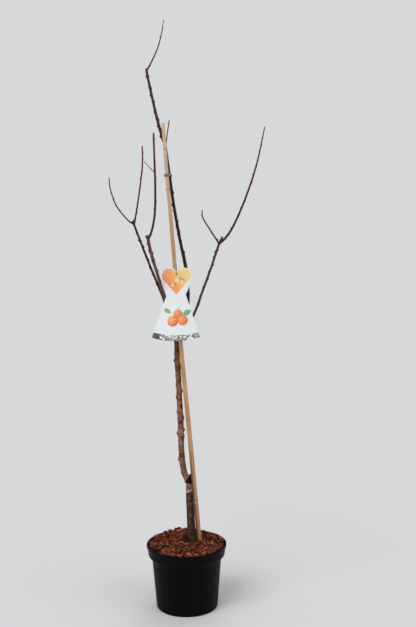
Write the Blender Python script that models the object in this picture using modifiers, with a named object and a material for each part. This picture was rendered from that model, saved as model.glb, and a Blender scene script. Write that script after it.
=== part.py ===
# A young grafted apricot tree in a black nursery pot, tied to a bamboo cane, with a heart-topped label.
# Metres, +Z up. The origin is the centre of the pot's base, and the label faces -Y.

import math
import random

import bmesh
import bpy
from mathutils import Matrix, Vector

# Driving dimensions of the pot
POT_HEIGHT = 0.206
RIM_RADIUS = 0.1274
RIM_BEAD_HEIGHT = 0.009
COLLAR_TOP_RADIUS = 0.1246
COLLAR_FOOT_RADIUS = 0.1228
COLLAR_FOOT_Z = 0.1797
SHOULDER_Z = 0.1635
BODY_TOP_RADIUS = 0.1106
BASE_RADIUS = 0.0981
BASE_CORNER = 0.005
WALL = 0.002
POT_SIDES = 52
DRAIN_HOLES = 8
DRAIN_RADIUS = 0.0065
DRAIN_RING_RADIUS = 0.074

# Growing medium and bark mulch
FIT_GAP = 0.0004
SOIL_TOP = 0.1905
MULCH_EDGE_TOP = 0.2035
MULCH_MOUND = 0.0075
CHIP_COUNT = 105
CHIP_LENGTH = 0.031
CHIP_WIDTH = 0.019
CHIP_THICKNESS = 0.007

# Bamboo cane
CANE_BORE_RADIUS = 0.0019
CANE_BORE_DEPTH = 0.035
CANE_JOINT_HEIGHTS = (0.150, 0.344, 0.604, 0.854, 1.092, 1.326, 1.448)
CANE_JOINT_SWELL = 0.0009
CANE_LINE = [
    ((0.0510, 0.0085, 0.080), 0.0076), ((0.0410, 0.0068, 0.213), 0.0076), ((0.0256, 0.0050, 0.407), 0.0074),
    ((0.0118, 0.0045, 0.582), 0.0072), ((-0.0086, 0.0035, 0.827), 0.0065), ((-0.0270, 0.0010, 1.111), 0.0059),
    ((-0.0460, -0.0010, 1.372), 0.0057), ((-0.0520, -0.0020, 1.470), 0.0053), ((-0.0556, -0.0025, 1.529), 0.0044),
]

# Label and ties
LABEL_CENTRE_X = -0.0205
LABEL_THICKNESS = 0.0008
LABEL_BACK_Y = -0.0074
LABEL_FOOT_Z = 0.864
LABEL_CORNER_Z = 0.873
LABEL_FOOT_HALF_WIDTH = 0.0745
LABEL_NECK_Z = 1.006
LABEL_NECK_HALF_WIDTH = 0.0290
HEART_HALF_WIDTH = 0.0465
HEART_WIDEST_Z = 1.064
HEART_TOP_Z = 1.089
HEART_NOTCH_Z = 1.0795
LABEL_HOLE_Z = 1.068
LABEL_HOLE_RADIUS = 0.0026
LABEL_BOW = 2.2
LABEL_LEAN = 0.17
LABEL_LEAN_BEND = 0.020
LABEL_SWING = 0.020
TIE_Z = 1.372
TIE_WIDTH = 0.0100
TIE_THICKNESS = 0.0010
TIE_SLACK = 0.0007
TIE_TAIL = 0.005
LABEL_TIE_RADIUS = 0.0007

# The tree: each limb is its line's points, and the radius at each of them
STOCK = [
    ((0.0190, 0.0240, 0.085), 0.0130), ((0.0195, 0.0240, 0.180), 0.0162), ((0.0195, 0.0240, 0.210), 0.0167),
    ((0.0157, 0.0240, 0.238), 0.0137), ((0.0134, 0.0240, 0.290), 0.0125), ((0.0121, 0.0240, 0.355), 0.0126),
    ((0.0118, 0.0240, 0.390), 0.0118), ((0.0160, 0.0238, 0.430), 0.0100),
]
STEM = [
    ((0.0120, 0.0240, 0.385), 0.0080), ((0.0020, 0.0230, 0.413), 0.0095), ((-0.0060, 0.0220, 0.437), 0.0097),
    ((-0.0124, 0.0200, 0.490), 0.0094), ((-0.0146, 0.0200, 0.580), 0.0094), ((-0.0181, 0.0200, 0.703), 0.0088),
    ((-0.0234, 0.0200, 0.815), 0.0085), ((-0.0200, 0.0210, 0.872), 0.0083), ((-0.0070, 0.0225, 0.905), 0.0070),
    ((0.0070, 0.0245, 0.945), 0.0065), ((0.0130, 0.0250, 1.000), 0.0060), ((0.0070, 0.0230, 1.089), 0.0055),
    ((-0.0088, 0.0200, 1.170), 0.0048), ((-0.0272, 0.0130, 1.283), 0.0046), ((-0.0384, 0.0090, 1.372), 0.0043),
    ((-0.0495, 0.0110, 1.455), 0.0043), ((-0.0605, 0.0150, 1.490), 0.0045), ((-0.0795, 0.0200, 1.565), 0.0043),
    ((-0.1020, 0.0280, 1.672), 0.0039), ((-0.1045, 0.0300, 1.694), 0.0043),
]
OLD_LIMBS = {
    "left_back": [
        ((-0.0215, 0.0205, 0.868), 0.0050), ((-0.0630, 0.0450, 0.984), 0.0036), ((-0.1098, 0.0700, 1.098), 0.0034),
        ((-0.1565, 0.0900, 1.220), 0.0033), ((-0.1595, 0.0910, 1.229), 0.0042),
    ],
    "left_front": [
        ((-0.0225, 0.0185, 0.868), 0.0058), ((-0.0415, 0.0080, 0.943), 0.0052), ((-0.0600, -0.0060, 1.003), 0.0050),
        ((-0.0940, -0.0480, 1.130), 0.0048), ((-0.1035, -0.0640, 1.182), 0.0049), ((-0.1040, -0.0650, 1.189), 0.0053),
    ],
    "right": [
        ((-0.0200, 0.0215, 0.864), 0.0056), ((0.0010, 0.0310, 0.887), 0.0050), ((0.0320, 0.0430, 0.939), 0.0042),
        ((0.0597, 0.0520, 1.011), 0.0038), ((0.0868, 0.0600, 1.083), 0.0037), ((0.1130, 0.0650, 1.158), 0.0037),
        ((0.1235, 0.0660, 1.179), 0.0036),
    ],
}
SHOOTS = {
    "leader_tip": [
        ((-0.1050, 0.0300, 1.690), 0.0028), ((-0.0927, 0.0280, 1.709), 0.0024), ((-0.0715, 0.0240, 1.751), 0.0019),
        ((-0.0580, 0.0200, 1.794), 0.0016), ((-0.0505, 0.0150, 1.833), 0.0011),
    ],
    "left_back_outer": [
        ((-0.1565, 0.0900, 1.220), 0.0021), ((-0.1790, 0.1000, 1.237), 0.0019), ((-0.2130, 0.1150, 1.279), 0.0018),
        ((-0.2322, 0.1280, 1.330), 0.0017), ((-0.2370, 0.1350, 1.366), 0.0015),
    ],
    "left_back_upright": [
        ((-0.1565, 0.0900, 1.219), 0.0027), ((-0.1480, 0.0930, 1.262), 0.0024), ((-0.1366, 0.1000, 1.335), 0.0022),
        ((-0.1280, 0.1100, 1.406), 0.0021), ((-0.1280, 0.1200, 1.464), 0.0020),
    ],
    "left_front_upright": [
        ((-0.1030, -0.0650, 1.180), 0.0037), ((-0.0912, -0.0720, 1.204), 0.0034), ((-0.0803, -0.0820, 1.260), 0.0031),
        ((-0.0777, -0.0880, 1.344), 0.0030), ((-0.0788, -0.0900, 1.420), 0.0028), ((-0.0802, -0.0900, 1.489), 0.0026),
    ],
    "right_inner": [
        ((0.1130, 0.0650, 1.158), 0.0020), ((0.0850, 0.0900, 1.201), 0.0017), ((0.0622, 0.1080, 1.239), 0.0015),
        ((0.0602, 0.1150, 1.260), 0.0013),
    ],
    "right_outer": [
        ((0.1140, 0.0650, 1.160), 0.0034), ((0.1325, 0.0550, 1.176), 0.0030), ((0.1585, 0.0400, 1.216), 0.0029),
        ((0.1950, 0.0200, 1.300), 0.0026), ((0.2280, -0.0020, 1.400), 0.0022), ((0.2520, -0.0220, 1.510), 0.0013),
    ],
}
TWIGS = {
    "left_front_twig": [
        ((-0.0780, -0.0890, 1.376), 0.0015), ((-0.0920, -0.1050, 1.391), 0.0013), ((-0.1050, -0.1200, 1.405), 0.0012),
    ],
    "leader_twig": [
        ((-0.0495, 0.0110, 1.456), 0.0019), ((-0.0430, 0.0280, 1.508), 0.0017), ((-0.0385, 0.0360, 1.536), 0.0017),
    ],
}
STEP_OLD = 0.027
STEP_YOUNG = 0.030
BUD_SPACING = 0.027
KNOB_SPACING = 0.034
PHYLLOTAXIS = math.radians(144)
SEAL_THICKNESS = 0.0012
SEAL_FOOT_Z = 0.395
STUB_CUT_POINT = (0.0150, 0.0238, 0.417)
STUB_CUT_NORMAL = (-0.45, -0.30, 0.84)
SEAL_SIDE_POINT = (0.0070, 0.0238, 0.4155)
SEAL_SIDE_NORMAL = (-0.82, 0.0, 0.57)


def clear_scene():
    for obj in list(bpy.data.objects):
        bpy.data.objects.remove(obj)


def new_collection(name, hidden=False):
    collection = bpy.data.collections.new(name)
    collection.hide_render = hidden
    bpy.context.scene.collection.children.link(collection)
    return collection


def new_material(name, colour, roughness, metallic=0.0):
    material = bpy.data.materials.new(name)
    material.use_nodes = True
    shader = material.node_tree.nodes["Principled BSDF"]
    shader.inputs["Base Color"].default_value = (*colour, 1.0)
    shader.inputs["Roughness"].default_value = roughness
    shader.inputs["Metallic"].default_value = metallic
    return material


def put_in(obj, collection):
    for owner in list(obj.users_collection):
        owner.objects.unlink(obj)
    collection.objects.link(obj)


def mesh_object(name, bm, collection):
    bmesh.ops.recalc_face_normals(bm, faces=bm.faces[:])
    mesh = bpy.data.meshes.new(name)
    bm.to_mesh(mesh)
    bm.free()
    obj = bpy.data.objects.new(name, mesh)
    collection.objects.link(obj)
    return obj


def dress(obj, material, smooth_angle=math.radians(50)):
    obj.data.materials.clear()
    obj.data.materials.append(material)
    obj.data.shade_smooth()
    obj.data.set_sharp_from_angle(angle=smooth_angle)


def boolean(obj, operand, operation, solver="EXACT"):
    """Applies a Boolean with an object or a whole collection, and removes what it used."""
    modifier = obj.modifiers.new(operation.title(), "BOOLEAN")
    modifier.operation = operation
    modifier.solver = solver
    if isinstance(operand, bpy.types.Collection):
        modifier.operand_type = "COLLECTION"
        modifier.collection = operand
        used = list(operand.objects)
    else:
        modifier.object = operand
        used = [operand]
    bpy.context.view_layer.update()
    graph = bpy.context.evaluated_depsgraph_get()
    mesh = bpy.data.meshes.new_from_object(obj.evaluated_get(graph))
    obj.modifiers.clear()
    obj.data = mesh
    for other in used:
        bpy.data.objects.remove(other)
    return obj


def drop_sealed_pockets(obj):
    """Fills the pockets sealed in between the chips, whose walls are islands of their own facing inward."""
    bm = bmesh.new()
    bm.from_mesh(obj.data)
    left = set(bm.verts)
    pockets = []
    while left:
        island = [left.pop()]
        for vertex in island:
            near = [edge.other_vert(vertex) for edge in vertex.link_edges]
            fresh = [other for other in near if other in left]
            left.difference_update(fresh)
            island.extend(fresh)
        faces = {face for vertex in island for face in vertex.link_faces}
        volume = sum(f.calc_center_median().dot(f.normal) * f.calc_area() for f in faces)
        if volume < 1e-9:
            pockets.extend(island)
    bmesh.ops.delete(bm, geom=pockets, context="VERTS")
    bm.to_mesh(obj.data)
    bm.free()


def catmull(points, t):
    """A point on the smooth curve through points of any dimension, t from 0 to len(points) - 1."""
    i = min(int(t), len(points) - 2)
    u = t - i
    before = points[max(i - 1, 0)]
    start, end = points[i], points[i + 1]
    after = points[min(i + 2, len(points) - 1)]
    return [
        0.5 * (2 * b + (c - a) * u + (2 * a - 5 * b + 4 * c - d) * u * u + (3 * b - a - 3 * c + d) * u**3)
        for a, b, c, d in zip(before, start, end, after)
    ]


def smooth_line(limb, step):
    """Evenly spaced (point, radius) pairs along a limb's smooth curve."""
    rows = [(*point, radius) for point, radius in limb]
    fine = [catmull(rows, k / 40) for k in range(40 * (len(rows) - 1) + 1)]
    lengths = [0.0]
    for a, b in zip(fine, fine[1:]):
        lengths.append(lengths[-1] + (Vector(b[:3]) - Vector(a[:3])).length)
    count = max(2, round(lengths[-1] / step))
    line = []
    k = 0
    for i in range(count + 1):
        wanted = lengths[-1] * i / count
        while k < len(lengths) - 2 and lengths[k + 1] < wanted:
            k += 1
        share = (wanted - lengths[k]) / max(lengths[k + 1] - lengths[k], 1e-9)
        row = [p + (q - p) * share for p, q in zip(fine[k], fine[k + 1])]
        line.append((Vector(row[:3]), row[3]))
    return line


def stock_line():
    return smooth_line(STOCK, STEP_OLD * 0.6)


def stem_line():
    return smooth_line(STEM, STEP_OLD * 0.9)


def tube(name, line, collection, resolution=2, grow=0.0, cyclic=False):
    """A round tube along (point, radius) pairs, as one closed mesh."""
    curve = bpy.data.curves.new(name, "CURVE")
    curve.dimensions = "3D"
    curve.bevel_depth = 1.0
    curve.bevel_resolution = resolution
    curve.use_fill_caps = not cyclic
    spline = curve.splines.new("POLY")
    spline.points.add(len(line) - 1)
    spline.use_cyclic_u = cyclic
    for target, (point, radius) in zip(spline.points, line):
        target.co = (*point, 1.0)
        target.radius = radius + grow
    holder = bpy.data.objects.new(name + "_curve", curve)
    bpy.context.scene.collection.objects.link(holder)
    bpy.context.view_layer.update()
    graph = bpy.context.evaluated_depsgraph_get()
    mesh = bpy.data.meshes.new_from_object(holder.evaluated_get(graph))
    bpy.data.objects.remove(holder)
    bm = bmesh.new()
    bm.from_mesh(mesh)
    bmesh.ops.remove_doubles(bm, verts=bm.verts[:], dist=1e-6)
    return mesh_object(name, bm, collection)


def turned(name, profile, collection, steps):
    """A solid of revolution about Z. The profile runs down its outer side, from (radius, height) pairs."""
    mesh = bpy.data.meshes.new(name)
    edges = [(i, i + 1) for i in range(len(profile) - 1)]
    mesh.from_pydata([(r, 0.0, z) for r, z in profile], edges, [])
    obj = bpy.data.objects.new(name, mesh)
    collection.objects.link(obj)
    screw = obj.modifiers.new("Screw", "SCREW")
    screw.steps = screw.render_steps = steps
    screw.use_merge_vertices = True
    screw.merge_threshold = 0.00005
    bpy.context.view_layer.update()
    graph = bpy.context.evaluated_depsgraph_get()
    obj.data = bpy.data.meshes.new_from_object(obj.evaluated_get(graph))
    obj.modifiers.clear()
    return obj


def pot_outer_profile():
    """(radius, height) pairs from the lip down the bead, the collar, its rounded shoulder and the tapered body."""
    lip = WALL * 0.9
    bead_z = POT_HEIGHT - RIM_BEAD_HEIGHT
    profile = [
        (RIM_RADIUS - lip, POT_HEIGHT), (RIM_RADIUS - lip * 0.3, POT_HEIGHT - lip * 0.3),
        (RIM_RADIUS, POT_HEIGHT - lip), (RIM_RADIUS, bead_z + 0.0015), (COLLAR_TOP_RADIUS, bead_z - 0.0015),
    ]
    drop, inset = COLLAR_FOOT_Z - SHOULDER_Z, COLLAR_FOOT_RADIUS - BODY_TOP_RADIUS
    for a in (0, 25, 50, 75):
        angle = math.radians(a)
        profile.append((COLLAR_FOOT_RADIUS - inset * (1 - math.cos(angle)), COLLAR_FOOT_Z - drop * math.sin(angle)))
    profile.append((BODY_TOP_RADIUS, SHOULDER_Z - 0.001))
    for a in (0, 30, 60, 90):
        angle = math.radians(a)
        profile.append((BASE_RADIUS - BASE_CORNER * (1 - math.cos(angle)), BASE_CORNER * (1 - math.sin(angle))))
    return profile


def inside_radius(z):
    """The pot's inner radius at height z, in its body, its shoulder or its collar."""
    if z < SHOULDER_Z + WALL:
        return BASE_RADIUS - WALL + (BODY_TOP_RADIUS - BASE_RADIUS) * z / SHOULDER_Z
    if z < COLLAR_FOOT_Z:
        share = (z - SHOULDER_Z - WALL) / (COLLAR_FOOT_Z - SHOULDER_Z - WALL)
        return BODY_TOP_RADIUS - WALL + (COLLAR_FOOT_RADIUS - BODY_TOP_RADIUS) * math.sqrt(share * (2 - share))
    share = (z - COLLAR_FOOT_Z) / (POT_HEIGHT - COLLAR_FOOT_Z)
    return COLLAR_FOOT_RADIUS - WALL + (COLLAR_TOP_RADIUS - COLLAR_FOOT_RADIUS) * share


def make_pot(collection, cutters, plastic):
    """A tapered pot with a beaded rim, a collar on a rounded shoulder, and drainage holes."""
    outer = pot_outer_profile()
    heights = (
        WALL + BASE_CORNER, SHOULDER_Z, SHOULDER_Z + WALL + 0.001, SHOULDER_Z + 0.007,
        COLLAR_FOOT_Z, POT_HEIGHT - 0.002,
    )
    inner = [(0.0, WALL), (BASE_RADIUS - WALL - BASE_CORNER, WALL)]
    inner += [(inside_radius(z), z) for z in heights]
    pot = turned("pot", [*outer, (0.0, 0.0), *inner, outer[0]], collection, POT_SIDES)
    bm = bmesh.new()
    for k in range(DRAIN_HOLES):
        angle = math.tau * (k + 0.5) / DRAIN_HOLES
        place = Matrix.Translation(
            (DRAIN_RING_RADIUS * math.cos(angle), DRAIN_RING_RADIUS * math.sin(angle), WALL / 2)
        )
        bmesh.ops.create_cone(
            bm, cap_ends=True, segments=16, radius1=DRAIN_RADIUS, radius2=DRAIN_RADIUS,
            depth=WALL * 5, matrix=place,
        )
    boolean(pot, mesh_object("drain_cutter", bm, cutters), "DIFFERENCE")
    dress(pot, plastic)
    return pot


def deeper(line, gap):
    """A line whose foot is pushed out by a gap."""
    point, radius = line[0]
    away = (point - line[1][0]).normalized()
    return [(point + away * gap, radius), *line[1:]]


def stem_and_cane_cutter(collection, name):
    """The stock and the cane, a little fatter, for the plain holes that they stand in."""
    stock = tube(name + "_stock", deeper(stock_line(), FIT_GAP), collection, 4, FIT_GAP)
    cane = tube(name + "_cane", deeper(cane_line(), FIT_GAP), collection, 4, FIT_GAP)
    return stock, cane


def make_soil(collection, cutters, soil_material):
    foot = WALL + FIT_GAP
    heights = (SOIL_TOP, COLLAR_FOOT_Z, SHOULDER_Z + 0.007, SHOULDER_Z + WALL + 0.002, SHOULDER_Z, foot + BASE_CORNER)
    profile = [(0.0, SOIL_TOP), *[(inside_radius(z) - 3 * FIT_GAP, z) for z in heights]]
    profile += [(BASE_RADIUS - WALL - BASE_CORNER * 1.4, foot), (0.0, foot)]
    soil = turned("soil", profile, collection, POT_SIDES)
    for cutter in stem_and_cane_cutter(cutters, "soil_hole"):
        boolean(soil, cutter, "DIFFERENCE")
    dress(soil, soil_material)
    return soil


def mulch_height(radius):
    """The mulch layer's own top: highest round the stem, lowest at the rim."""
    share = min(radius / 0.12, 1.0)
    return MULCH_EDGE_TOP + MULCH_MOUND * (1 - share * share)


def bark_chip(draw, index):
    """A seeded flat chip of bark at its place on the mound, laid round the rim near it."""
    reach = 0.1135
    radius = reach * math.sqrt((index + 0.5) / CHIP_COUNT)
    around = index * math.pi * (3 - math.sqrt(5)) + draw.uniform(-0.15, 0.15)
    size = draw.uniform(0.75, 1.2)
    length, width = CHIP_LENGTH * size, CHIP_WIDTH * draw.uniform(0.75, 1.15)
    near_rim = max(0.0, (radius - 0.090) / (reach - 0.090))
    heading = around + math.pi / 2 + draw.uniform(-1.4, 1.4) * (1 - near_rim)
    radius = min(radius, reach - 0.35 * width * near_rim)
    tilt = Matrix.Rotation(draw.uniform(-0.30, 0.30) * (1 - 0.5 * near_rim), 4, "X")
    roll = Matrix.Rotation(draw.uniform(-0.22, 0.22) * (1 - 0.7 * near_rim), 4, "Y")
    place = Vector((radius * math.cos(around), radius * math.sin(around), mulch_height(radius) + 0.0012))
    size_matrix = Matrix.Diagonal((length, width, CHIP_THICKNESS * draw.uniform(0.8, 1.3), 1.0))
    return Matrix.Translation(place) @ Matrix.Rotation(heading, 4, "Z") @ tilt @ roll @ size_matrix


def make_mulch(collection, cutters, joined, bark_material):
    bottom = SOIL_TOP + FIT_GAP
    edge = inside_radius(bottom) - 2 * FIT_GAP
    top_edge = inside_radius(MULCH_EDGE_TOP) - 2 * FIT_GAP
    profile = [(r, mulch_height(r)) for r in (0.0, 0.030, 0.060, 0.090)]
    profile += [(top_edge, MULCH_EDGE_TOP), (edge, bottom), (0.0, bottom)]
    mulch = turned("bark_mulch", profile, collection, 40)
    draw = random.Random(7)
    for index in range(CHIP_COUNT):
        bm = bmesh.new()
        bmesh.ops.create_cube(bm, size=1.0, matrix=bark_chip(draw, index))
        corners = [v for v in bm.verts if draw.random() < 0.5]
        for corner in corners:
            corner.co.z -= draw.uniform(0.0, 0.0015)
        mesh_object(f"chip_{index}", bm, joined)
    boolean(mulch, joined, "UNION", "MANIFOLD")
    room = [(inside_radius(z) - 2 * FIT_GAP, z) for z in (POT_HEIGHT, COLLAR_FOOT_Z)]
    room = [(0.0, 0.26), (room[0][0], 0.26), *room, (0.0, COLLAR_FOOT_Z)]
    boolean(mulch, turned("mulch_room", room, cutters, POT_SIDES), "INTERSECT", "MANIFOLD")
    for cutter in stem_and_cane_cutter(cutters, "mulch_hole"):
        boolean(mulch, cutter, "DIFFERENCE", "MANIFOLD")
    drop_sealed_pockets(mulch)
    dress(mulch, bark_material, math.radians(25))
    return mulch


def frame_at(line, k):
    """(point, radius, direction) at the k-th point of a line."""
    ahead = line[min(k + 1, len(line) - 1)][0]
    behind = line[max(k - 1, 0)][0]
    return line[k][0], line[k][1], (ahead - behind).normalized()


def bud_matrix(point, direction, turn, lean):
    """Places a bud at a point, leaning off the shoot's direction and turned round it."""
    upright = direction.to_track_quat("Z", "X").to_matrix().to_4x4()
    return Matrix.Translation(point) @ upright @ Matrix.Rotation(turn, 4, "Z") @ Matrix.Rotation(lean, 4, "Y")


def add_bud(name, collection, matrix, radius, bud_radius, length, tip=0.30):
    """A pointed bud whose root starts on the shoot's own line, so that it is sunk well in."""
    bm = bmesh.new()
    root = radius * 0.35
    lift = Matrix.Translation((0.0, 0.0, root + (length + radius) / 2))
    bmesh.ops.create_cone(
        bm, cap_ends=True, segments=4, radius1=bud_radius, radius2=bud_radius * tip,
        depth=length + radius, matrix=matrix @ lift,
    )
    return mesh_object(name, bm, collection)


def add_buds(name, limb, spacing, collection, draw, old):
    """Buds on young shoots, blunt knobs and short spurs on older wood, alternate and turned by the leaf angle."""
    line = smooth_line(limb, spacing)
    turn = draw.uniform(0, math.tau)
    for k in range(1, len(line)):
        point, radius, direction = frame_at(line, k)
        turn += PHYLLOTAXIS + draw.uniform(-0.25, 0.25)
        if k == len(line) - 1:
            if not old:
                end = point - direction * 0.004
                add_bud(f"{name}_end", collection, bud_matrix(end, direction, turn, 0.0), 0.002, radius * 1.05, 0.0055)
            continue
        if old and draw.random() < 0.30:
            spur_length = draw.uniform(0.003, 0.006)
            matrix = bud_matrix(point, direction, turn, draw.uniform(0.9, 1.25))
            add_bud(f"{name}_{k}", collection, matrix, radius, 0.0025, spur_length, 0.62)
        elif old:
            matrix = bud_matrix(point, direction, turn, draw.uniform(1.1, 1.5))
            add_bud(f"{name}_{k}", collection, matrix, radius, 0.0039, 0.0015, 0.45)
        else:
            matrix = bud_matrix(point, direction, turn, draw.uniform(0.55, 0.8))
            add_bud(f"{name}_{k}", collection, matrix, radius, 0.0017, 0.0032)


def half_space(name, point, normal, collection, size=0.08):
    """A block whose lower face lies on the plane through point, square to normal."""
    bm = bmesh.new()
    upright = Vector(normal).to_track_quat("Z", "X").to_matrix().to_4x4()
    matrix = Matrix.Translation(point) @ upright @ Matrix.Translation((0, 0, size / 2))
    bmesh.ops.create_cube(bm, size=size, matrix=matrix)
    return mesh_object(name, bm, collection)


def make_tree(collection, cutters, joined, bark_material):
    """The whole grafted tree, grown as one piece: stock, stem, limbs, shoots, twigs and buds."""
    tree = tube("tree", stock_line(), collection, 4)
    boolean(tree, half_space("stub_cut", STUB_CUT_POINT, STUB_CUT_NORMAL, cutters), "DIFFERENCE")
    draw = random.Random(11)
    tube("stem", stem_line(), joined, 3)
    for name, limb in OLD_LIMBS.items():
        tube(name, smooth_line(limb, STEP_OLD), joined)
    for name, limb in {**SHOOTS, **TWIGS}.items():
        tube(name, smooth_line(limb, STEP_YOUNG), joined)
    add_buds("stem", STEM[2:], KNOB_SPACING, joined, draw, True)
    for name, limb in OLD_LIMBS.items():
        add_buds(name, limb[1:], KNOB_SPACING, joined, draw, True)
    for name, limb in SHOOTS.items():
        add_buds(name, limb, BUD_SPACING, joined, draw, False)
    boolean(tree, joined, "UNION", "MANIFOLD")
    dress(tree, bark_material)
    return tree


def make_graft_seal(collection, cutters, seal_material):
    """The black wound sealant that caps the stock's cut stub and the scion's side of the graft."""
    out = Vector(STUB_CUT_NORMAL).normalized()
    seal = tube("graft_seal", stock_line(), collection, 4, SEAL_THICKNESS + FIT_GAP)
    top = Vector(STUB_CUT_POINT) + out * (SEAL_THICKNESS + FIT_GAP)
    boolean(seal, half_space("seal_top", top, STUB_CUT_NORMAL, cutters), "DIFFERENCE")
    boolean(seal, tube("seal_scion", stem_line()[:5], cutters, 3, SEAL_THICKNESS + FIT_GAP), "UNION")
    boolean(seal, half_space("seal_side", SEAL_SIDE_POINT, SEAL_SIDE_NORMAL, cutters, 0.2), "DIFFERENCE")
    foot = (0.012, 0.024, SEAL_FOOT_Z)
    boolean(seal, half_space("seal_foot", foot, (-0.10, -0.25, -1.0), cutters, 0.5), "DIFFERENCE")
    stub = tube("seal_stub_core", stock_line(), cutters, 4, FIT_GAP)
    boolean(stub, half_space("stub_top", Vector(STUB_CUT_POINT) + out * FIT_GAP, STUB_CUT_NORMAL, cutters), "DIFFERENCE")
    boolean(seal, stub, "DIFFERENCE")
    boolean(seal, tube("seal_scion_core", stem_line()[:6], cutters, 3, FIT_GAP), "DIFFERENCE")
    dress(seal, seal_material)
    return seal


def cane_line():
    """The cane's (point, radius) pairs, with a swelling at each of the bamboo's joints."""
    fine = cane_line_fine()
    heights = sorted(
        [*[p[2] for p, _ in CANE_LINE], *[z + d for z in CANE_JOINT_HEIGHTS for d in (-0.004, 0.0, 0.0015, 0.004)]]
    )
    line = []
    for wanted in heights:
        point, radius = min(fine, key=lambda row: abs(row[0].z - wanted))
        if line and (point - line[-1][0]).length < 0.001:
            continue
        at_joint = any(abs(wanted - z) < 0.0020 for z in CANE_JOINT_HEIGHTS)
        line.append((point, radius + CANE_JOINT_SWELL * at_joint))
    return line


def make_cane(collection, cutters, bamboo):
    line = cane_line()
    cane = tube("cane", line, collection, 4)
    top, below = line[-1][0], line[-2][0]
    along = (top - below).normalized()
    bm = bmesh.new()
    upright = along.to_track_quat("Z", "X").to_matrix().to_4x4()
    bmesh.ops.create_cone(
        bm, cap_ends=True, segments=10, radius1=CANE_BORE_RADIUS, radius2=CANE_BORE_RADIUS,
        depth=2 * CANE_BORE_DEPTH, matrix=Matrix.Translation(top) @ upright,
    )
    boolean(cane, mesh_object("cane_bore", bm, cutters), "DIFFERENCE")
    dress(cane, bamboo)
    return cane


def line_point(limb, height):
    return min(smooth_line(limb, 0.001), key=lambda row: abs(row[0].z - height))


def belt_outline(first, second, offset):
    """The taut loop round two circles, each (centre, radius), as points on two arcs."""
    (a, ra), (b, rb) = first, second
    across = b - a
    heading = math.atan2(across.y, across.x)
    spread = math.acos((ra - rb) / across.length)
    points = []
    for k in range(11):
        angle = heading + spread + (math.tau - 2 * spread) * k / 10
        points.append(a + Vector((math.cos(angle), math.sin(angle))) * (ra + offset))
    for k in range(9):
        angle = heading - spread + 2 * spread * k / 8
        points.append(b + Vector((math.cos(angle), math.sin(angle))) * (rb + offset))
    return points


def flat_band(name, outlines, half_height, collection):
    """A 2D curve of one or more outlines, filled and extruded, as one closed mesh."""
    curve = bpy.data.curves.new(name, "CURVE")
    curve.dimensions = "2D"
    curve.fill_mode = "BOTH"
    curve.extrude = half_height
    for outline in outlines:
        spline = curve.splines.new("POLY")
        spline.points.add(len(outline) - 1)
        spline.use_cyclic_u = True
        for target, point in zip(spline.points, outline):
            target.co = (point[0], point[1], 0.0, 1.0)
    holder = bpy.data.objects.new(name + "_curve", curve)
    bpy.context.scene.collection.objects.link(holder)
    bpy.context.view_layer.update()
    graph = bpy.context.evaluated_depsgraph_get()
    mesh = bpy.data.meshes.new_from_object(holder.evaluated_get(graph))
    bpy.data.objects.remove(holder)
    bm = bmesh.new()
    bm.from_mesh(mesh)
    bmesh.ops.remove_doubles(bm, verts=bm.verts[:], dist=1e-6)
    return mesh_object(name, bm, collection)


def make_tie(collection, joined, tie_material):
    """The green band round the cane and the leader, with its stapled ends standing out together."""
    leader, leader_radius = line_point(STEM, TIE_Z)
    cane_point, cane_radius = min(cane_line_fine(), key=lambda row: abs(row[0].z - TIE_Z))
    circles = (cane_point.xy, cane_radius), (leader.xy, leader_radius)
    inner = belt_outline(*circles, TIE_SLACK)
    outer = belt_outline(*circles, TIE_SLACK + TIE_THICKNESS)
    tie = flat_band("tie", [outer, inner], TIE_WIDTH / 2, collection)
    tail = bmesh.new()
    start = cane_point.xy + Vector((-(cane_radius + TIE_SLACK + TIE_THICKNESS * 0.3), 0.0))
    matrix = Matrix.Translation((start.x - TIE_TAIL / 2 + 0.001, start.y, 0.0))
    size = Matrix.Diagonal((TIE_TAIL, TIE_THICKNESS * 1.6, TIE_WIDTH * 0.98, 1.0))
    bmesh.ops.create_cube(tail, size=1.0, matrix=matrix @ Matrix.Rotation(0.5, 4, "Z") @ size)
    mesh_object("tie_tail", tail, joined)
    boolean(tie, joined, "UNION")
    slope = (line_point(STEM, TIE_Z + 0.03)[0] - line_point(STEM, TIE_Z - 0.03)[0]).normalized()
    pivot = (cane_point + leader) / 2
    pivot.z = TIE_Z
    lean = Matrix.Rotation(math.atan2(slope.x, slope.z) * 0.85, 4, "Y")
    to_pivot = Matrix.Translation((-pivot.x, -pivot.y, 0.0))
    tie.data.transform(Matrix.Translation(pivot) @ lean @ to_pivot)
    dress(tie, tie_material)
    return tie


def cane_line_fine():
    return smooth_line(CANE_LINE, 0.002)


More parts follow.
